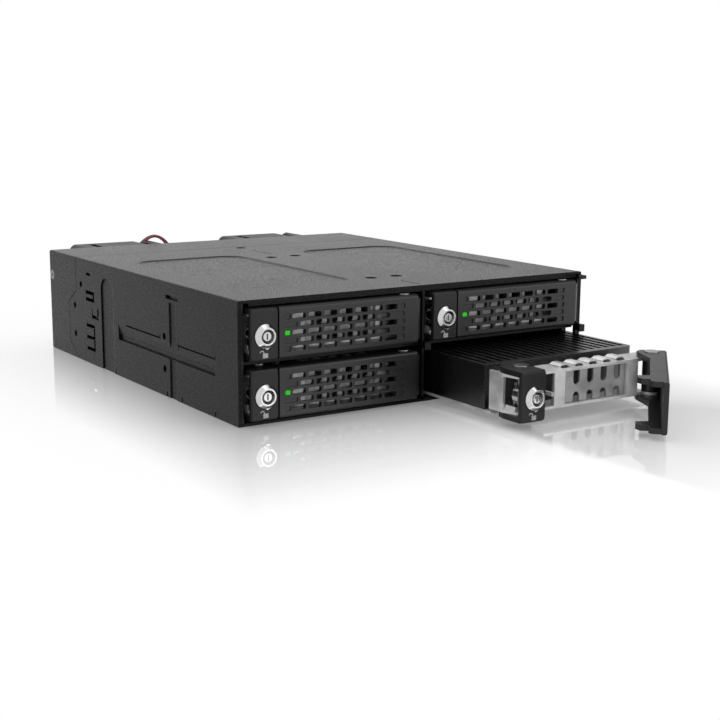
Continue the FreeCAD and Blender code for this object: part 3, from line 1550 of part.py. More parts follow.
def make_trays():
    """Four trays, each of the same ten parts."""
    patterns = {
        "tray_frame": make_frame_pattern(),
        "tray_grille": make_grille_pattern(),
        "heat_sink": make_sink_pattern(),
        "drive_plug": make_plug_pattern(),
        "lock_block": make_block_pattern(),
        "pivot_pins": make_pins_pattern(),
        "key_lock": make_lock_pattern(),
        "lock_nut": make_nut_pattern(),
        "light_pipe": make_pipe_pattern(),
    }
    handle = make_handle_pattern()
    for tray, column, line, drawn in TRAYS:
        x, y, z = tray_origin(column, line, drawn)
        for part, pattern in patterns.items():
            place_copy(pattern, f"{tray}_{part}", (x, y, z))
        angle = d.handle_open_angle if drawn else ZERO
        place_copy(handle, f"{tray}_handle", (x + handle_x, y + handle_y, z), angle)


# ---------------------------------------------------------------- build, check and write

make_case_shell()
make_case_bottom()
make_rear_cover()
make_cage_side("cage_side_left", -1)
make_cage_side("cage_side_right", 1)
make_bay_divider()
make_mid_shelf()
make_backplane()
make_drive_sockets()
make_data_ports()
make_power_ports()
for fan_name, fan_side in (("left", -1), ("right", 1)):
    make_fan_frame(f"fan_frame_{fan_name}", fan_side * d.fan_offset)
    make_fan_rotor(f"fan_rotor_{fan_name}", fan_side * d.fan_offset)
make_fan_screws()
make_case_screws()
make_fan_leads()
make_trays()
doc.recompute()

for item in doc.Objects:
    if any(state in ("Invalid", "Error") for state in item.State):
        raise RuntimeError(f"{item.Label} did not build: {item.State}")
for item in doc.findObjects("PartDesign::Pocket"):
    if item.Shape.Volume >= item.BaseFeature.Shape.Volume:
        raise RuntimeError(f"{item.Label} cuts nothing")
for name, item in NODES.items():
    if item.Shape.isNull() or not item.Shape.isValid() or not item.Shape.Solids:
        raise RuntimeError(f"{name} has no valid shape")

os.makedirs("parts", exist_ok=True)
for name, item in NODES.items():
    item.Shape.exportStep(os.path.join("parts", f"{name}.step"))
print(len(NODES), "sub-parts written")
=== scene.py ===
"""Looks of a hot swap drive cage: finishes, small marks, fan leads, studio and camera."""

from __future__ import annotations

import json
import logging
import math
from dataclasses import dataclass, field
from enum import Enum
from itertools import product
from typing import Any, ClassVar, Iterable, Sequence, Union

import bmesh
import bpy
from mathutils import Matrix, Vector

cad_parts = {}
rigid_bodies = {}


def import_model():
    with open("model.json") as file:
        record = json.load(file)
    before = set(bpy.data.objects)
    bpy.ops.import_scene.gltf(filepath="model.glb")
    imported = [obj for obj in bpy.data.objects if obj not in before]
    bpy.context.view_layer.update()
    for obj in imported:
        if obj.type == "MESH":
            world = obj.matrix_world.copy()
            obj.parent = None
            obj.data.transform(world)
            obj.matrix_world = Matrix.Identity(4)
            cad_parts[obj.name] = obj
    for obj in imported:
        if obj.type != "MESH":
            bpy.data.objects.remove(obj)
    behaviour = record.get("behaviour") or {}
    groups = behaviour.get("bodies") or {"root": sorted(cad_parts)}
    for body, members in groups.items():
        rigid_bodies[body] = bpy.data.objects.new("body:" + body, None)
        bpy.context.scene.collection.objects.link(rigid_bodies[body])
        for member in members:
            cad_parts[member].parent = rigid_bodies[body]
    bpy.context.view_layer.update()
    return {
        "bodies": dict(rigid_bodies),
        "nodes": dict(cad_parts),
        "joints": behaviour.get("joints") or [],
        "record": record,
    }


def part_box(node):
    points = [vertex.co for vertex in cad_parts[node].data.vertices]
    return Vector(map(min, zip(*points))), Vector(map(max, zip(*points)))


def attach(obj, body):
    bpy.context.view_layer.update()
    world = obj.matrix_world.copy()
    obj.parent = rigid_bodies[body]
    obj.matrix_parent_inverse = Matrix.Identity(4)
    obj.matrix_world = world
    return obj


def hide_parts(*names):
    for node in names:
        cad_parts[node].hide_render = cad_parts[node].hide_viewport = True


logging.basicConfig(level=logging.INFO, format="%(message)s")
LOG = logging.getLogger("drive_cage")

MM = 0.001
MARK_THICK = 0.03  # thickness of a thin mark, in millimetres
MARK_SUNK = 0.02  # depth of a cross's underside below its screw's face, in millimetres
RING_STEPS, BEND_STEPS, CORNER_STEPS = 32, 12, 4  # steps of a full ring, a bend and a corner

Colour = tuple[float, float, float, float]
Point = tuple[float, float]
Span = tuple[float, float]
Spot = tuple[float, float, float]
Outline = Sequence[Point]


def grey(level: float) -> Colour:
    """Give a neutral colour of one level."""
    return (level, level, level, 1.0)


def scaled(colour: Colour, factor: float) -> Colour:
    """Give a colour whose levels are multiplied by a factor."""
    return tuple(part * factor for part in colour[:3]) + (1.0,)


# ------------------------------------------------------------------ shader maths


class Signal:
    """A node's output that takes part in arithmetic."""

    def __init__(self, bench: Bench, socket: bpy.types.NodeSocket) -> None:
        """Wrap a socket of a bench's node tree."""
        self.bench = bench
        self.socket = socket

    def _join(self, operation: str, first: Value, second: Value) -> Signal:
        """Join two values by a Math node with an operation."""
        return self.bench.node("ShaderNodeMath", {"operation": operation}, (first, second))

    def __add__(self, other: Value) -> Signal:
        """Add a value."""
        return self._join("ADD", self, other)

    def __radd__(self, other: Value) -> Signal:
        """Add to a value."""
        return self._join("ADD", other, self)

    def __sub__(self, other: Value) -> Signal:
        """Take a value away."""
        return self._join("SUBTRACT", self, other)

    def __rsub__(self, other: Value) -> Signal:
        """Take this from a value."""
        return self._join("SUBTRACT", other, self)

    def __mul__(self, other: Value) -> Signal:
        """Multiply by a value."""
        return self._join("MULTIPLY", self, other)

    def __rmul__(self, other: Value) -> Signal:
        """Multiply a value."""
        return self._join("MULTIPLY", other, self)

    def __truediv__(self, other: Value) -> Signal:
        """Divide by a value."""
        return self._join("DIVIDE", self, other)

    def __rtruediv__(self, other: Value) -> Signal:
        """Divide a value by this."""
        return self._join("DIVIDE", other, self)

    def __abs__(self) -> Signal:
        """Give the size without the sign."""
        return self.bench.node("ShaderNodeMath", {"operation": "ABSOLUTE"}, (self,))

    def larger(self, other: Value) -> Signal:
        """Give the larger of two values."""
        return self._join("MAXIMUM", self, other)

    def between(self, low: float, high: float) -> Signal:
        """Map a span of values to 0 to 1, clamped and eased.

        Args:
            low: Value that gives 0.
            high: Value that gives 1.

        Returns:
            The mapped signal.
        """
        return self.bench.node(
            "ShaderNodeMapRange", {"interpolation_type": "SMOOTHSTEP"},
            {"Value": self, "From Min": low, "From Max": high})


Value = Union[Signal, float, Sequence[float]]


class Bench:
    """The node tree of a material or a world, with one way to add a node."""

    def __init__(self, owner: bpy.types.Material | bpy.types.World, output: str) -> None:
        """Start an empty tree.

        Args:
            owner: Material or world that holds the tree.
            output: Type name of the output node.
        """
        owner.use_nodes = True
        self.tree = owner.node_tree
        self.tree.nodes.clear()
        self.output = self.tree.nodes.new(output)

    def node(self, kind: str, settings: dict[str, Any] | None = None,
             inputs: dict[str | int, Value] | Sequence[Value] = (),
             result: int | str = 0) -> Signal:
        """Add a node: settings first, then its sockets.

        Args:
            kind: Blender's type name of the node.
            settings: Properties by name.
            inputs: Values or links by socket name or number, or in order.
            result: Output to give back.

        Returns:
            The chosen output.
        """
        item = self.tree.nodes.new(kind)
        for key, value in (settings or {}).items():
            setattr(item, key, value)
        pairs = inputs.items() if isinstance(inputs, dict) else enumerate(inputs)
        for key, value in pairs:
            self.feed(item.inputs[key], value)
        return Signal(self, item.outputs[result])

    def feed(self, socket: bpy.types.NodeSocket, value: Value) -> None:
        """Link or set one socket.

        Args:
            socket: Socket to feed.
            value: Signal to link, or a plain value.
        """
        if isinstance(value, Signal):
            self.tree.links.new(value.socket, socket)
        else:
            socket.default_value = value

    def end(self, shader: Signal) -> None:
        """Send a shader to the output."""
        self.feed(self.output.inputs["Surface"], shader)

    def ray(self, *kinds: str) -> Signal:
        """Give 1 for rays of some kinds.

        Args:
            *kinds: Kinds of ray, such as Camera.

        Returns:
            The mask.
        """
        masks = [self.node("ShaderNodeLightPath", result=f"Is {kind} Ray") for kind in kinds]
        whole = masks[0]
        for mask in masks[1:]:
            whole = whole.larger(mask)
        return whole

    def place(self) -> Signal:
        """Give the point's place in the object's own metres."""
        return self.node("ShaderNodeTexCoord", result="Object")

    def axis(self, name: str) -> Signal:
        """Give the point's X, Y or Z coordinate."""
        return self.node("ShaderNodeSeparateXYZ", {}, (self.place(),), name)

    def noise(self, size: float, detail: float = 2.0, stretch: Sequence[float] = (1, 1, 1),
              roughness: float = 0.5) -> Signal:
        """Give noise whose grains have a size in metres.

        Args:
            size: Size of a grain.
            detail: Octaves.
            stretch: Relative frequency along each axis.
            roughness: Weight of the finer octaves.

        Returns:
            Noise from 0 to 1.
        """
        spot = self.node("ShaderNodeMapping", {}, {
            "Vector": self.place(), "Scale": tuple(part / size for part in stretch)})
        return self.node("ShaderNodeTexNoise", {}, {
            "Vector": spot, "Scale": 1.0, "Detail": detail, "Roughness": roughness})

    def mix(self, share: Value, low: Value, high: Value) -> Signal:
        """Mix two colours, from the first at share 0 to the second at share 1."""
        return self.node("ShaderNodeMix", {"data_type": "RGBA"}, {0: share, 6: low, 7: high}, 2)

    def bump(self, height: Signal, depth: float, edge: float) -> Signal:
        """Give the normal of a fine relief over rounded edges.

        Args:
            height: Relief from 0 to 1.
            depth: Depth of the relief in metres.
            edge: Radius of the rounded edges in metres.

        Returns:
            The bumped normal.
        """
        rounded = self.node("ShaderNodeBevel", {"samples": 4}, {"Radius": edge})
        return self.node("ShaderNodeBump", {}, {
            "Strength": 1.0, "Distance": depth, "Height": height, "Normal": rounded})

    def surface(self, **sockets: Value) -> None:
        """End the tree in a Principled shader.

        Args:
            **sockets: Socket names with underscores for spaces.
        """
        self.end(self.node("ShaderNodeBsdfPrincipled", {}, {
            name.replace("_", " "): value for name, value in sockets.items()}))


# ------------------------------------------------------------------ finishes


@dataclass(frozen=True)
class Finish:
    """A finish that can be made into a material."""

    name: str

    def make(self) -> bpy.types.Material:
        """Make the material."""
        material = bpy.data.materials.new(self.name)
        self.lay(Bench(material, "ShaderNodeOutputMaterial"))
        return material

    def lay(self, bench: Bench) -> None:
        """Lay the finish's nodes on a bench."""
        raise NotImplementedError


@dataclass(frozen=True)
class GreyFinish(Finish):
    """A neutral finish that varies between a darker and a lighter tone of its colour."""

    colour: float
    roughness: float
    dark: float = 1.0
    light: float = 1.0

    def tone(self, bench: Bench, share: Signal) -> Signal:
        """Mix the darker and the lighter tone by a share."""
        return bench.mix(share, grey(self.colour * self.dark), grey(self.colour * self.light))


@dataclass(frozen=True)
class PowderCoat(GreyFinish):
    """Textured powder coat: fine grains over wide faint blotches."""

    colour: float = 0.0095
    roughness: float = 0.20
    dark: float = 0.5
    light: float = 1.8
    grain: float = 0.55 * MM
    grain_octaves: float = 3.0
    grain_fineness: float = 0.6
    speck_span: Span = (0.42, 0.68)
    blotch: float = 28 * MM
    blotch_share: float = 0.25
    speck_roughness: float = 0.2
    blotch_roughness: float = 0.06
    depth: float = 0.035 * MM
    edge: float = 0.35 * MM
    shine: float = 0.09

    def lay(self, bench: Bench) -> None:
        """Lay grains, blotches and roughness."""
        grains = bench.noise(self.grain, self.grain_octaves, roughness=self.grain_fineness)
        cloud = bench.noise(self.blotch)
        speck = grains.between(*self.speck_span)
        share = speck * (1 - self.blotch_share) + cloud * self.blotch_share
        bench.surface(
            Base_Color=self.tone(bench, share),
            Roughness=speck * self.speck_roughness + cloud * self.blotch_roughness
            + self.roughness,
            Normal=bench.bump(speck, self.depth, self.edge), Specular_IOR_Level=self.shine)


@dataclass(frozen=True)
class MouldedPlastic(GreyFinish):
    """Moulded plastic with a fine spark-eroded grain."""

    dark: float = 0.8
    light: float = 1.3
    grain: float = 0.22 * MM
    cloud: float = 9 * MM
    cloud_share: float = 0.4
    swing: float = 0.1
    depth: float = 0.02 * MM
    edge: float = 0.22 * MM
    shine: float = 0.3

    def lay(self, bench: Bench) -> None:
        """Lay the grain and a soft cloud of sheen."""
        grains = bench.noise(self.grain)
        cloud = bench.noise(self.cloud)
        share = grains * (1 - self.cloud_share) + cloud * self.cloud_share
        bench.surface(
            Base_Color=self.tone(bench, share),
            Roughness=cloud * self.swing + (self.roughness - self.swing / 2),
            Normal=bench.bump(grains, self.depth, self.edge), Specular_IOR_Level=self.shine)


@dataclass(frozen=True)
class BrushedSheet(GreyFinish):
    """Bright sheet metal with long fine brush lines and faint stains."""

    dark: float = 0.62
    light: float = 1.1
    metal: float = 1.0
    line: float = 0.16 * MM
    line_octaves: float = 3.0
    along: Spot = (0.06, 1.0, 1.0)
    stain: float = 8 * MM
    stain_stretch: Spot = (1.0, 1.0, 1.4)
    stain_span: Span = (0.3, 0.7)
    stain_share: float = 0.6
    line_swing: float = 0.16
    stain_swing: float = 0.12
    depth: float = 0.012 * MM
    edge: float = 0.18 * MM

    def lay(self, bench: Bench) -> None:
        """Lay brush lines, stains and roughness."""
        lines = bench.noise(self.line, self.line_octaves, self.along)
        stain = bench.noise(self.stain, stretch=self.stain_stretch).between(*self.stain_span)
        share = lines * (1 - self.stain_share) + stain * self.stain_share
        bench.surface(
            Base_Color=self.tone(bench, share), Metallic=self.metal,
            Roughness=lines * self.line_swing + stain * self.stain_swing
            + (self.roughness - self.stain_swing),
            Normal=bench.bump(lines, self.depth, self.edge))


@dataclass(frozen=True)
class Polished(GreyFinish):
    """Polished plating with faint handling marks."""

    dark: float = 0.9
    light: float = 1.06
    mark: float = 0.5 * MM
    mark_octaves: float = 3.0
    along: Spot = (1.0, 0.3, 1.0)
    swing: float = 0.1
    depth: float = 0.006 * MM
    edge: float = 0.3 * MM

    def lay(self, bench: Bench) -> None:
        """Lay the plating and its faint marks."""
        marks = bench.noise(self.mark, self.mark_octaves, self.along)
        bench.surface(
            Base_Color=self.tone(bench, marks), Metallic=1.0,
            Roughness=marks * self.swing + self.roughness,
            Normal=bench.bump(marks, self.depth, self.edge))


@dataclass(frozen=True)
class MarkingInk(GreyFinish):
    """Pale printed ink that is a little thin in places."""

    dark: float = 0.6
    spot: float = 0.3 * MM
    thin_span: Span = (0.25, 0.5)

    def lay(self, bench: Bench) -> None:
        """Lay the ink with thin spots."""
        thin = bench.noise(self.spot).between(*self.thin_span)
        bench.surface(Base_Color=self.tone(bench, thin), Roughness=self.roughness)


@dataclass(frozen=True)
class CircuitBoard(Finish):
    """Solder-masked board with faint copper tracks under the mask."""

    colour: Colour = (0.008, 0.045, 0.018, 1.0)
    track_light: float = 1.9
    track: float = 1.2 * MM
    track_octaves: float = 1.0
    track_span: Span = (0.5, 0.56)
    along: Spot = (1.0, 1.0, 0.12)
    roughness: float = 0.3
    swing: float = 0.08
    depth: float = 0.02 * MM
    edge: float = 0.1 * MM

    def lay(self, bench: Bench) -> None:
        """Lay tracks as stepped bands under the mask."""
        lanes = bench.noise(self.track, self.track_octaves, self.along).between(*self.track_span)
        bench.surface(
            Base_Color=bench.mix(lanes, self.colour, scaled(self.colour, self.track_light)),
            Roughness=self.roughness + lanes * self.swing,
            Normal=bench.bump(lanes, self.depth, self.edge))


@dataclass(frozen=True)
class ClearBar(Finish):
    """Clear moulded light pipe."""

    shaded: Colour = (0.66, 0.72, 0.68, 1.0)
    clear: Colour = grey(0.82)
    haze: float = 1.5 * MM
    swing: float = 0.08
    roughness: float = 0.12
    transmission: float = 0.5
    refraction: float = 1.49

    def lay(self, bench: Bench) -> None:
        """Lay the clear body with a little haze."""
        cloud = bench.noise(self.haze)
        bench.surface(
            Base_Color=bench.mix(cloud, self.shaded, self.clear),
            Roughness=cloud * self.swing + self.roughness,
            Transmission_Weight=self.transmission, IOR=self.refraction)


@dataclass(frozen=True)
class Indicator(Finish):
    """Lit indicator lens with a faintly uneven glow."""

    glow: Colour = (0.022, 0.56, 0.006, 1.0)
    glow_dark: float = 0.45
    strength: float = 0.85
    shaded: Colour = (0.01, 0.16, 0.01, 1.0)
    body: Colour = (0.02, 0.26, 0.02, 1.0)
    cloud: float = 0.8 * MM
    swing: float = 0.06
    roughness: float = 0.3
    shine: float = 0.15

    def lay(self, bench: Bench) -> None:
        """Lay the green body and its glow."""
        cloud = bench.noise(self.cloud)
        bench.surface(
            Base_Color=bench.mix(cloud, self.shaded, self.body),
            Roughness=cloud * self.swing + self.roughness,
            Emission_Color=bench.mix(cloud, scaled(self.glow, self.glow_dark), self.glow),
            Emission_Strength=self.strength, Specular_IOR_Level=self.shine)


@dataclass(frozen=True)
class Insulation(Finish):
    """Wire insulation of one colour."""

    colour: Colour
    dark: float = 0.75
    cloud: float = 2 * MM
    swing: float = 0.1
    roughness: float = 0.3

    def lay(self, bench: Bench) -> None:
        """Lay the colour with a faint mottling."""
        cloud = bench.noise(self.cloud)
        bench.surface(Base_Color=bench.mix(cloud, scaled(self.colour, self.dark), self.colour),
                      Roughness=cloud * self.swing + self.roughness)


@dataclass(frozen=True)
class StudioFloor(Finish):
    """Pale glossy floor that mirrors the object near its foot."""

    half_width: float = 0.073
    front: float = -0.0835
    rear: float = 0.105
    middle: float = 0.004
    drawn: float = 0.055
    fade_aside: float = 0.042
    fade_ahead: float = 0.085
    fade_behind: float = 0.09
    white_span: Span = (0.5, 2.0)
    mirror: float = 0.55
    mirror_roughness: float = 0.03
    albedo: float = 0.62
    lift: float = 0.36

    def lay(self, bench: Bench) -> None:
        """Lay the pale floor, its gloss, the fading of the gloss and the white beyond."""
        across = bench.axis("X")
        reach = self.front - across.between(-self.middle, self.middle) * self.drawn
        aside = abs(across) - self.half_width
        ahead = reach - bench.axis("Y")
        gap = (aside / self.fade_aside).larger(ahead / self.fade_ahead).larger(0.0)
        behind = (bench.axis("Y") - self.rear) / self.fade_behind
        near = (1.0 - gap).larger(0.0)
        pale = bench.node("ShaderNodeBsdfDiffuse", {}, {"Color": grey(self.albedo)})
        white = bench.node("ShaderNodeEmission", {}, {"Color": grey(1.0), "Strength": self.lift})
        lifted = bench.node("ShaderNodeAddShader", {}, (pale, white))
        gloss = bench.node("ShaderNodeBsdfGlossy", {}, {
            "Color": grey(1.0), "Roughness": self.mirror_roughness})
        glazed = bench.node("ShaderNodeMixShader", {}, (near * self.mirror, lifted, gloss))
        beyond = bench.node("ShaderNodeEmission", {}, {"Color": grey(1.0), "Strength": 1.0})
        spread = bench.node("ShaderNodeMixShader", {}, (
            gap.larger(behind).between(*self.white_span), glazed, beyond))
        bench.end(bench.node("ShaderNodeMixShader", {}, (
            bench.ray("Camera", "Glossy", "Transmission"), pale, spread)))


class Material(Enum):
    """The finishes of the cage."""

    CASE = PowderCoat("case_coat")
    COVER = PowderCoat("cover_coat")
    DOOR = MouldedPlastic("door_plastic", colour=0.011, roughness=0.32, shine=0.38)
    BLOCK = MouldedPlastic("lock_block_plastic", colour=0.011, roughness=0.32, shine=0.25)
    FAN = MouldedPlastic("fan_plastic", colour=0.008, roughness=0.45, grain=0.4 * MM)
    CONNECTOR = MouldedPlastic("connector_plastic", colour=0.006, roughness=0.35)
    DARK_CAGE = MouldedPlastic("cage_dark", colour=0.004, roughness=0.42, shine=0.2)
    SINK = MouldedPlastic("sink_anodised", colour=0.002, roughness=0.28, shine=0.85)
    # painted shade: near-black laid on the screw crosses and round the key plug, where only
    # shade falls
    RECESS = MouldedPlastic("recess_shadow", colour=0.006, roughness=0.6)
    TRAY = BrushedSheet("tray_sheet", colour=0.73, roughness=0.40, metal=0.62)
    GRILLE = BrushedSheet("grille_sheet", colour=0.42, roughness=0.36, metal=0.75)
    LOCK = Polished("lock_chrome", colour=0.62, roughness=0.07)
    PIN = Polished("pin_plating", colour=0.42, roughness=0.18)
    SCREW = Polished("screw_plating", colour=0.22, roughness=0.3)
    BOARD = CircuitBoard("board_mask")
    PIPE = ClearBar("pipe_clear")
    LENS = Indicator("indicator_glow")
    RED = Insulation("lead_red", (0.20, 0.006, 0.005, 1.0))
    BLACK = Insulation("lead_black", (0.012, 0.012, 0.012, 1.0))
    INK = MarkingInk("marking_ink", colour=0.40, roughness=0.55)


@dataclass
class Paintbox:
    """Keeps one material for each finish and puts it on things."""

    made: dict[Material, bpy.types.Material] = field(default_factory=dict)

    def get(self, choice: Material) -> bpy.types.Material:
        """Give a finish's material, made once.

        Args:
            choice: The finish.

        Returns:
            Its material.
        """
        if choice not in self.made:
            self.made[choice] = choice.value.make()
        return self.made[choice]

    def coat(self, item: bpy.types.Object, choice: Material) -> None:
        """Put a finish on a whole object."""
        item.data.materials.clear()
        item.data.materials.append(self.get(choice))


# ------------------------------------------------------------------ flat shapes

# Turn a plate's own +Z, in which it is raised, to a side of the cage.
FRONTWARD = Matrix(((1, 0, 0, 0), (0, 0, -1, 0), (0, 1, 0, 0), (0, 0, 0, 1)))
REARWARD = Matrix(((-1, 0, 0, 0), (0, 0, 1, 0), (0, 1, 0, 0), (0, 0, 0, 1)))
LEFTWARD = Matrix(((0, 0, -1, 0), (-1, 0, 0, 0), (0, 1, 0, 0), (0, 0, 0, 1)))
RIGHTWARD = Matrix(((0, 0, 1, 0), (1, 0, 0, 0), (0, 1, 0, 0), (0, 0, 0, 1)))


def facing(spot: Sequence[float], turn: Matrix) -> Matrix:
    """Give the frame of a plate that stands at a spot and faces a side of the cage."""
    return Matrix.Translation(spot) @ turn


def plate_from(outline: Outline, holes: Iterable[Outline], frame: Matrix,
               thick: float) -> bmesh.types.BMesh:
    """Make a thin plate with holes from flat outlines.

    Args:
        outline: Outer points in millimetres.
        holes: Inner outlines.
        frame: Places the plate's XY plane in the cage.
        thick: Thickness in millimetres, towards the plate's +Z.

    Returns:
        The plate's mesh.
    """
    mesh = bmesh.new()
    edges = []
    for ring in (outline, *holes):
        spots = [mesh.verts.new((x * MM, y * MM, 0)) for x, y in ring]
        edges += [mesh.edges.new((a, b)) for a, b in zip(spots, spots[1:] + spots[:1])]
    bmesh.ops.triangle_fill(mesh, use_beauty=True, use_dissolve=True, edges=edges)
    raised = bmesh.ops.extrude_face_region(mesh, geom=list(mesh.faces))
    lift = [item for item in raised["geom"] if isinstance(item, bmesh.types.BMVert)]
    bmesh.ops.translate(mesh, vec=(0, 0, thick * MM), verts=lift)
    bmesh.ops.recalc_face_normals(mesh, faces=mesh.faces)
    bmesh.ops.transform(mesh, matrix=frame, verts=mesh.verts)
    return mesh


def round_edges(mesh: bmesh.types.BMesh, edges: list[bmesh.types.BMEdge],
                width: float) -> None:
    """Round some edges of a mesh.

    Args:
        mesh: The mesh.
        edges: Edges to round.
        width: Width of the rounding in millimetres.
    """
    bmesh.ops.bevel(mesh, geom=edges, offset=width * MM, segments=3, affect="EDGES",
                    profile=0.5)


def ring_points(centre: Point, radius: float, start: float = 0.0, turn: float = 360.0,
                steps: int = RING_STEPS) -> list[Point]:
    """Give points along an arc, in degrees and millimetres.

    Args:
        centre: Centre of the arc.
        radius: Its radius.
        start: First angle.
        turn: Angle that it covers.
        steps: Number of steps.

    Returns:
        The points; a full turn leaves out its last.
    """
    count = steps if abs(turn) >= 360 else steps + 1
    angles = [math.radians(start + turn * index / steps) for index in range(count)]
    return [(centre[0] + radius * math.cos(angle), centre[1] + radius * math.sin(angle))
            for angle in angles]


def rounded_box(width: float, height: float, radius: float) -> list[Point]:
    """Give the outline of a rectangle with rounded corners, round its centre.

    Args:
        width: Its width in millimetres.
        height: Its height.
        radius: Radius of its corners.

    Returns:
        The points.
    """
    across, up = width / 2 - radius, height / 2 - radius
    points: list[Point] = []
    for quarter, (x, y) in enumerate(((1, 1), (-1, 1), (-1, -1), (1, -1))):
        points += ring_points((x * across, y * up), radius, quarter * 90, 90, CORNER_STEPS)
    return points


def cross_outline(reach: float, width: float) -> list[Point]:
    """Give the outline of a cross recess.

    Args:
        reach: Half the length of its arms.
        width: Width of its arms.

    Returns:
        The points in millimetres.
    """
    half = width / 2
    return [(reach, -half), (reach, half), (half, half), (half, reach), (-half, reach),
            (-half, half), (-reach, half), (-reach, -half), (-half, -half),
            (-half, -reach), (half, -reach), (half, -half)]


# ------------------------------------------------------------------ pieces


@dataclass
class Assembly:
    """Shared ways of the sub-assemblies."""

    nodes: dict[str, bpy.types.Object]
    paints: Paintbox

    def dress(self, choices: dict[str, Material]) -> None:
        """Put finishes on CAD nodes.

        Args:
            choices: Finish of each node.
        """
        for name, choice in choices.items():
            self.paints.coat(self.nodes[name], choice)
            LOG.info("dressed %s in %s", name, choice.name.lower())

    def add_mesh(self, name: str, mesh: bmesh.types.BMesh, body: str,
                 choice: Material) -> None:
        """Add a new piece that moves with a body.

        Args:
            name: Name of the piece.
            mesh: Its mesh, in the cage's frame.
            body: Body that it rides on.
            choice: Its finish.
        """
        data = bpy.data.meshes.new(name)
        mesh.to_mesh(data)
        mesh.free()
        item = bpy.data.objects.new(name, data)
        bpy.context.scene.collection.objects.link(item)
        self.paints.coat(item, choice)
        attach(item, body)
        LOG.info("built %s on %s", name, body)

    def add_mark(self, name: str, outline: Outline, frame: Matrix, body: str,
                 choice: Material, holes: Iterable[Outline] = ()) -> None:
        """Add a thin flat mark that moves with a body.

        Args:
            name: Name of the mark.
            outline: Outer points in millimetres.
            frame: Places the mark in the cage.
            body: Body that it rides on.
            choice: Its finish.
            holes: Inner outlines.
        """
        self.add_mesh(name, plate_from(outline, holes, frame, MARK_THICK), body, choice)


@dataclass
class Case(Assembly):
    """Folded case, its inner walls and the marks on them."""

    cross_reach: float = 1.0
    cross_width: float = 0.4

    def build(self) -> None:
        """Dress the case and cross its screws."""
        self.dress({
            "case_shell": Material.CASE, "case_bottom": Material.CASE,
            "rear_cover": Material.COVER, "cage_side_left": Material.DARK_CAGE,
            "cage_side_right": Material.DARK_CAGE, "bay_divider": Material.DARK_CAGE,
            "mid_shelf": Material.DARK_CAGE, "case_screws": Material.SCREW,
        })
        self.cross_screws()

    def cross_screws(self) -> None:
        """Put a dark cross on the flat screw at each side: painted shade standing in for its
        cross recess.
        """
        low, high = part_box("case_screws")
        middle = (low + high) / 2
        cross = cross_outline(self.cross_reach, self.cross_width)
        for side, edge, turn in (("left", low.x + MARK_SUNK * MM, LEFTWARD),
                                 ("right", high.x - MARK_SUNK * MM, RIGHTWARD)):
            # the dark cross is painted shade for the screw's cross recess
            self.add_mark(f"case_screw_cross_{side}", cross,
                          facing((edge, middle.y, middle.z), turn), "case", Material.RECESS)


@dataclass
class Backplane(Assembly):
    """Circuit board behind the trays and its connectors."""

    def build(self) -> None:
        """Dress the board and its connectors."""
        self.dress({
            "backplane": Material.BOARD, "drive_sockets": Material.CONNECTOR,
            "data_ports": Material.CONNECTOR, "power_ports": Material.CONNECTOR,
        })


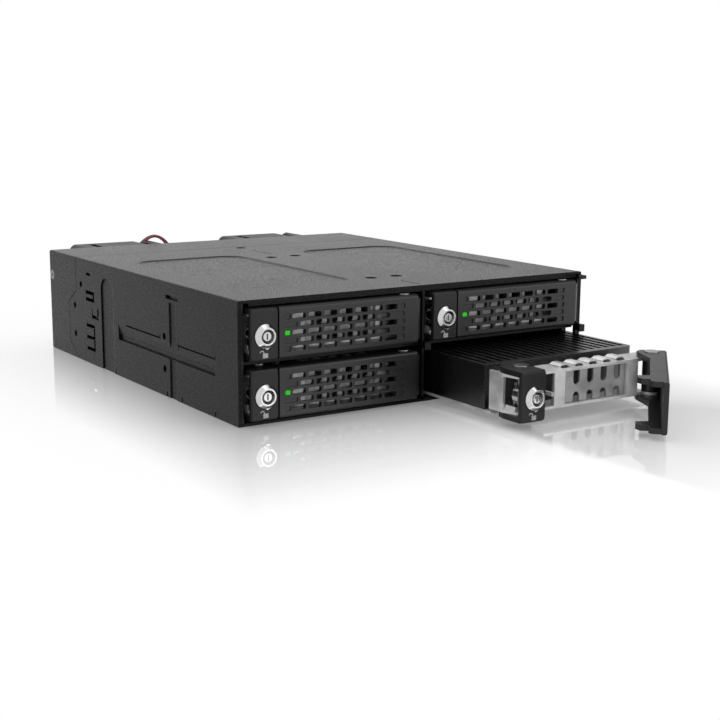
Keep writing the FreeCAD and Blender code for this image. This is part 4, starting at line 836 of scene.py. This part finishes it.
@dataclass
class RearFans(Assembly):
    """The two rear fans, their screws and the wires of the left one.

    The wires' route runs from their exit in millimetres, as X, Y, Z and the share of the
    pitch by which the second wire has moved aside.
    """

    ROUTE: ClassVar[tuple[tuple[float, float, float, float], ...]] = (
        (0.0, 0.0, 0.6, 0.0), (4.0, 0.0, 4.2, 0.0), (9.5, 0.0, 3.6, 0.5),
        (13.5, -1.5, -2.0, 1.0), (14.5, -6.0, -7.0, 1.0), (14.5, -13.0, -9.0, 1.0),
        (14.5, -20.0, -9.0, 1.0))

    cross_reach: float = 1.5
    cross_width: float = 0.55
    screw_pitch: float = 32.0
    lead_width: float = 1.2
    lead_pitch: float = 1.5
    exit_across: float = 33.0
    exit_inset: float = 1.8
    exit_drop: float = 1.92

    def build(self) -> None:
        """Dress the fans, cross the screws and lay the leads."""
        self.dress({
            "fan_frame_left": Material.FAN, "fan_frame_right": Material.FAN,
            "fan_rotor_left": Material.FAN, "fan_rotor_right": Material.FAN,
            "fan_screws": Material.SCREW,
        })
        self.cross_screws()
        for index, (node, choice) in enumerate(
                (("fan_lead_red", Material.RED), ("fan_lead_black", Material.BLACK))):
            self.lay_wire(node, self.lead_points(index), choice)

    def cross_screws(self) -> None:
        """Put a dark cross on each screw head: painted shade standing in for its cross recess.
        """
        _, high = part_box("fan_screws")
        cross = cross_outline(self.cross_reach, self.cross_width)
        ends = (-self.screw_pitch / 2, self.screw_pitch / 2)
        for count, (fan, across, up) in enumerate(product(("left", "right"), ends, ends), 1):
            small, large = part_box(f"fan_frame_{fan}")
            middle = (small + large) / 2
            spot = (middle.x + across * MM, high.y - MARK_SUNK * MM, middle.z + up * MM)
            # the dark cross is painted shade for the screw's cross recess
            self.add_mark(f"screw_cross_{count}", cross, facing(spot, REARWARD), "case",
                          Material.RECESS)

    def lead_points(self, index: int) -> list[Spot]:
        """Give the route of one wire from the left fan into the port window.

        Args:
            index: 0 for the first wire, 1 for the second.

        Returns:
            Its points in metres.
        """
        low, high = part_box("fan_frame_left")
        corner = low.x + self.exit_across * MM
        rim = high.z - self.exit_drop * MM
        leave = high.y - self.exit_inset * MM
        shift = (index - 0.5) * self.lead_pitch
        points = []
        for step, (x, y, z, share) in enumerate(self.ROUTE):
            lift = shift if step == len(self.ROUTE) - 1 else 0.0
            points.append((corner + (x + index * share * self.lead_pitch) * MM,
                           leave + (y + shift) * MM, rim + (z + lift) * MM))
        return points

    def lay_wire(self, node: str, points: Sequence[Spot], choice: Material) -> None:
        """Lay one wire as a smooth curve.

        Args:
            node: CAD node that the wire stands for.
            points: Its route.
            choice: Its finish.
        """
        curve = bpy.data.curves.new(f"{node}_wire", "CURVE")
        curve.dimensions = "3D"
        curve.bevel_depth = self.lead_width / 2 * MM
        curve.bevel_resolution = 4
        curve.resolution_u = 16
        curve.use_fill_caps = True
        spline = curve.splines.new("NURBS")
        spline.points.add(len(points) - 1)
        for point, spot in zip(spline.points, points):
            point.co = (*spot, 1.0)
        spline.order_u = 3
        spline.use_endpoint_u = True
        item = bpy.data.objects.new(f"{node}_wire", curve)
        bpy.context.scene.collection.objects.link(item)
        self.paints.coat(item, choice)
        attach(item, "case")
        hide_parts(node)
        LOG.info("laid %s", node)


class TrayPlace(Enum):
    """The four trays."""

    UPPER_LEFT = "upper_left"
    UPPER_RIGHT = "upper_right"
    LOWER_LEFT = "lower_left"
    LOWER_RIGHT = "lower_right"


@dataclass
class DriveTray(Assembly):
    """One tray with its handle, lock and drive; its sizes are in millimetres."""

    FINISHES: ClassVar[dict[str, Material]] = {
        "tray_frame": Material.TRAY, "tray_grille": Material.GRILLE,
        "heat_sink": Material.SINK, "drive_plug": Material.CONNECTOR,
        "lock_block": Material.BLOCK, "handle": Material.DOOR,
        "pivot_pins": Material.PIN, "key_lock": Material.LOCK,
        "light_pipe": Material.PIPE, "lock_nut": Material.SCREW,
    }

    place: TrayPlace
    powered: bool
    mark_across: float = 5.2
    mark_up: float = 1.5
    padlock_half: Point = (0.95, 0.75)
    shackle_middle: Point = (-1.25, 0.95)
    shackle_radii: Span = (0.85, 0.50)
    shackle_turn: float = 170
    shackle_feet: tuple[Point, Point] = ((-0.40, 0.72), (-0.75, 0.72))
    bezel_radius: float = 4.0
    cup_depth: float = 1.1
    cup_radii: Span = (1.62, 2.26)
    tab_across: float = 0.8
    tab_thick: float = 0.5
    tab_rounding: float = 0.14
    tab_least_edge: float = 0.75
    tab_outline: tuple[Point, ...] = ((8.1, 2.1), (7.1, 4.6), (2.2, 4.5), (2.93, 2.0))
    lens_width: float = 1.9
    lens_height: float = 1.5
    lens_corner: float = 0.35
    lens_rise: float = 0.3
    lens_rounding: float = 0.12

    @property
    def name(self) -> str:
        """Give the word that its nodes' and bodies' names begin with."""
        return self.place.value

    def build(self) -> None:
        """Dress the tray and add its marks."""
        self.dress({f"{self.name}_{part}": choice for part, choice in self.FINISHES.items()})
        self.mark_padlock()
        self.shade_cup()
        self.raise_tab()
        if self.powered:
            self.fit_lens()

    def mark_padlock(self) -> None:
        """Print the small open padlock below the lock."""
        low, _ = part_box(f"{self.name}_lock_block")
        frame = facing((low.x + self.mark_across * MM, low.y, low.z + self.mark_up * MM),
                       FRONTWARD)
        across, up = self.padlock_half
        body = [(-across, -up), (across, -up), (across, up), (-across, up)]
        self.add_mark(f"{self.name}_padlock_body", body, frame, f"{self.name}_lock",
                      Material.INK)
        wide, narrow = self.shackle_radii
        first, last = self.shackle_feet
        outer = ring_points(self.shackle_middle, wide, 0, self.shackle_turn, BEND_STEPS)
        inner = ring_points(self.shackle_middle, narrow, self.shackle_turn,
                            -self.shackle_turn, BEND_STEPS)
        self.add_mark(f"{self.name}_padlock_shackle", [first, *outer, *inner, last], frame,
                      f"{self.name}_lock", Material.INK)

    def shade_cup(self) -> None:
        """Lay a dark ring between the key plug and the bezel's cup: painted shade standing in
        for the shadowed gap round the plug.
        """
        low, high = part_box(f"{self.name}_key_lock")
        frame = facing((low.x + self.bezel_radius * MM, low.y + self.cup_depth * MM,
                        high.z - self.bezel_radius * MM), FRONTWARD)
        inner, outer = (ring_points((0, 0), radius) for radius in self.cup_radii)
        # painted shade: a near-black ring laid where the gap round the plug lies in shade
        self.add_mark(f"{self.name}_lock_clearance", outer, frame, f"{self.name}_key",
                      Material.RECESS, (inner,))

    def raise_tab(self) -> None:
        """Stand the bent tab on the tray's lower flange, inside the lock block."""
        low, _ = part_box(f"{self.name}_tray_frame")
        frame = facing((low.x + self.tab_across * MM, low.y, low.z), RIGHTWARD)
        mesh = plate_from(self.tab_outline, (), frame, self.tab_thick)
        least = self.tab_least_edge * MM
        long = [edge for edge in mesh.edges if edge.calc_length() > least]
        round_edges(mesh, long, self.tab_rounding)
        self.add_mesh(f"{self.name}_tray_tab", mesh, f"{self.name}_tray", Material.TRAY)

    def fit_lens(self) -> None:
        """Fit the lit lens on the light pipe's tip, inside the handle's window."""
        low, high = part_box(f"{self.name}_light_pipe")
        middle = ((low.x + high.x) / 2, low.y, (low.z + high.z) / 2)
        outline = rounded_box(self.lens_width, self.lens_height, self.lens_corner)
        mesh = plate_from(outline, (), facing(middle, FRONTWARD), self.lens_rise)
        raised = low.y - self.lens_rise / 2 * MM
        rim = [edge for edge in mesh.edges if all(vert.co.y < raised for vert in edge.verts)]
        round_edges(mesh, rim, self.lens_rounding)
        self.add_mesh(f"{self.name}_indicator_lens", mesh, f"{self.name}_tray", Material.LENS)


# ------------------------------------------------------------------ studio


@dataclass(frozen=True)
class SoftBox:
    """A rectangular lamp, in metres and watts, that faces a point."""

    name: str
    spot: Spot
    aim: Spot
    size: tuple[float, float]
    power: float

    def hang(self) -> None:
        """Hang the lamp in the scene."""
        data = bpy.data.lights.new(self.name, "AREA")
        data.shape = "RECTANGLE"
        data.size, data.size_y = self.size
        data.energy = self.power
        item = bpy.data.objects.new(self.name, data)
        item.location = self.spot
        toward = Vector(self.aim) - Vector(self.spot)
        item.rotation_euler = toward.to_track_quat("-Z", "Y").to_euler()
        bpy.context.scene.collection.objects.link(item)


@dataclass
class Studio:
    """Camera, lights, floor and white surroundings; angles are in degrees."""

    azimuth: float = -33.30
    elevation: float = 11.17
    roll: float = 0.349
    spot: Spot = (-0.26920, -0.45320, 0.10485)
    lens: float = 66.454
    sensor: float = 36.0
    near_clip: float = 0.01
    soft: float = 0.75
    card_toward: Spot = (0.86, 0.05, 0.51)
    card_span: Span = (0.66, 0.86)
    card_level: float = 0.03
    floor_half: float = 6.0
    floor_drop: float = 0.0001
    lamps: tuple[SoftBox, ...] = (
        SoftBox("over", (0.05, 0.10, 0.75), (0, 0, 0), (1.0, 0.8), 2.3),
        SoftBox("front", (0.48, -0.80, 0.20), (0.02, -0.08, 0.02), (0.8, 0.5), 2.2))

    def build(self) -> None:
        """Set up everything that is not the object."""
        self.stand_camera()
        self.light_world()
        for lamp in self.lamps:
            lamp.hang()
        self.lay_floor()

    def stand_camera(self) -> None:
        """Stand the camera and make it the scene's own."""
        turn, tilt = math.radians(self.azimuth), math.radians(self.elevation)
        back = Vector((math.sin(turn) * math.cos(tilt), -math.cos(turn) * math.cos(tilt),
                       math.sin(tilt)))
        right = (-back).cross(Vector((0, 0, 1))).normalized()
        up = right.cross(-back)
        lean = math.radians(self.roll)
        side = right * math.cos(lean) + up * math.sin(lean)
        top = up * math.cos(lean) - right * math.sin(lean)
        data = bpy.data.cameras.new("camera")
        data.lens = self.lens
        data.sensor_width = self.sensor
        data.clip_start = self.near_clip
        item = bpy.data.objects.new("camera", data)
        item.matrix_world = Matrix.Translation(self.spot) @ Matrix(
            (side, top, back)).transposed().to_4x4()
        bpy.context.scene.collection.objects.link(item)
        bpy.context.scene.camera = item

    def light_world(self) -> None:
        """Light the surroundings softly and show them white, with a dark card at the right."""
        world = bpy.data.worlds.new("studio")
        bpy.context.scene.world = world
        bench = Bench(world, "ShaderNodeOutputWorld")
        toward = bench.node("ShaderNodeTexCoord", result="Generated")
        card = bench.node("ShaderNodeVectorMath", {"operation": "DOT_PRODUCT"},
                          (toward, self.card_toward), "Value").between(*self.card_span)
        soft, shade, white = (
            bench.node("ShaderNodeBackground", {}, {"Color": grey(1.0), "Strength": strength})
            for strength in (self.soft, self.card_level, 1.0))
        carded = bench.node("ShaderNodeMixShader", {}, (
            card * bench.ray("Glossy"), white, shade))
        bench.end(bench.node("ShaderNodeMixShader", {}, (
            bench.ray("Camera", "Glossy", "Transmission"), soft, carded)))

    def lay_floor(self) -> None:
        """Lay the floor under the cage."""
        mesh = bmesh.new()
        bmesh.ops.create_grid(mesh, x_segments=1, y_segments=1, size=self.floor_half)
        data = bpy.data.meshes.new("floor")
        mesh.to_mesh(data)
        mesh.free()
        floor = bpy.data.objects.new("floor", data)
        floor.location = (0, 0, -self.floor_drop)
        bpy.context.scene.collection.objects.link(floor)
        floor.data.materials.append(StudioFloor("floor_pale").make())


# ------------------------------------------------------------------ whole scene


def main() -> None:
    """Build the studio and dress the cage, sub-assembly by sub-assembly."""
    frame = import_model()
    nodes = frame["nodes"]
    paints = Paintbox()
    bpy.context.scene.view_settings.view_transform = "Standard"
    Studio().build()
    RearFans(nodes, paints).build()
    Case(nodes, paints).build()
    Backplane(nodes, paints).build()
    for place in TrayPlace:
        DriveTray(nodes, paints, place, place is not TrayPlace.LOWER_RIGHT).build()
    LOG.info("all pieces built")


if __name__ == "__main__":
    main()
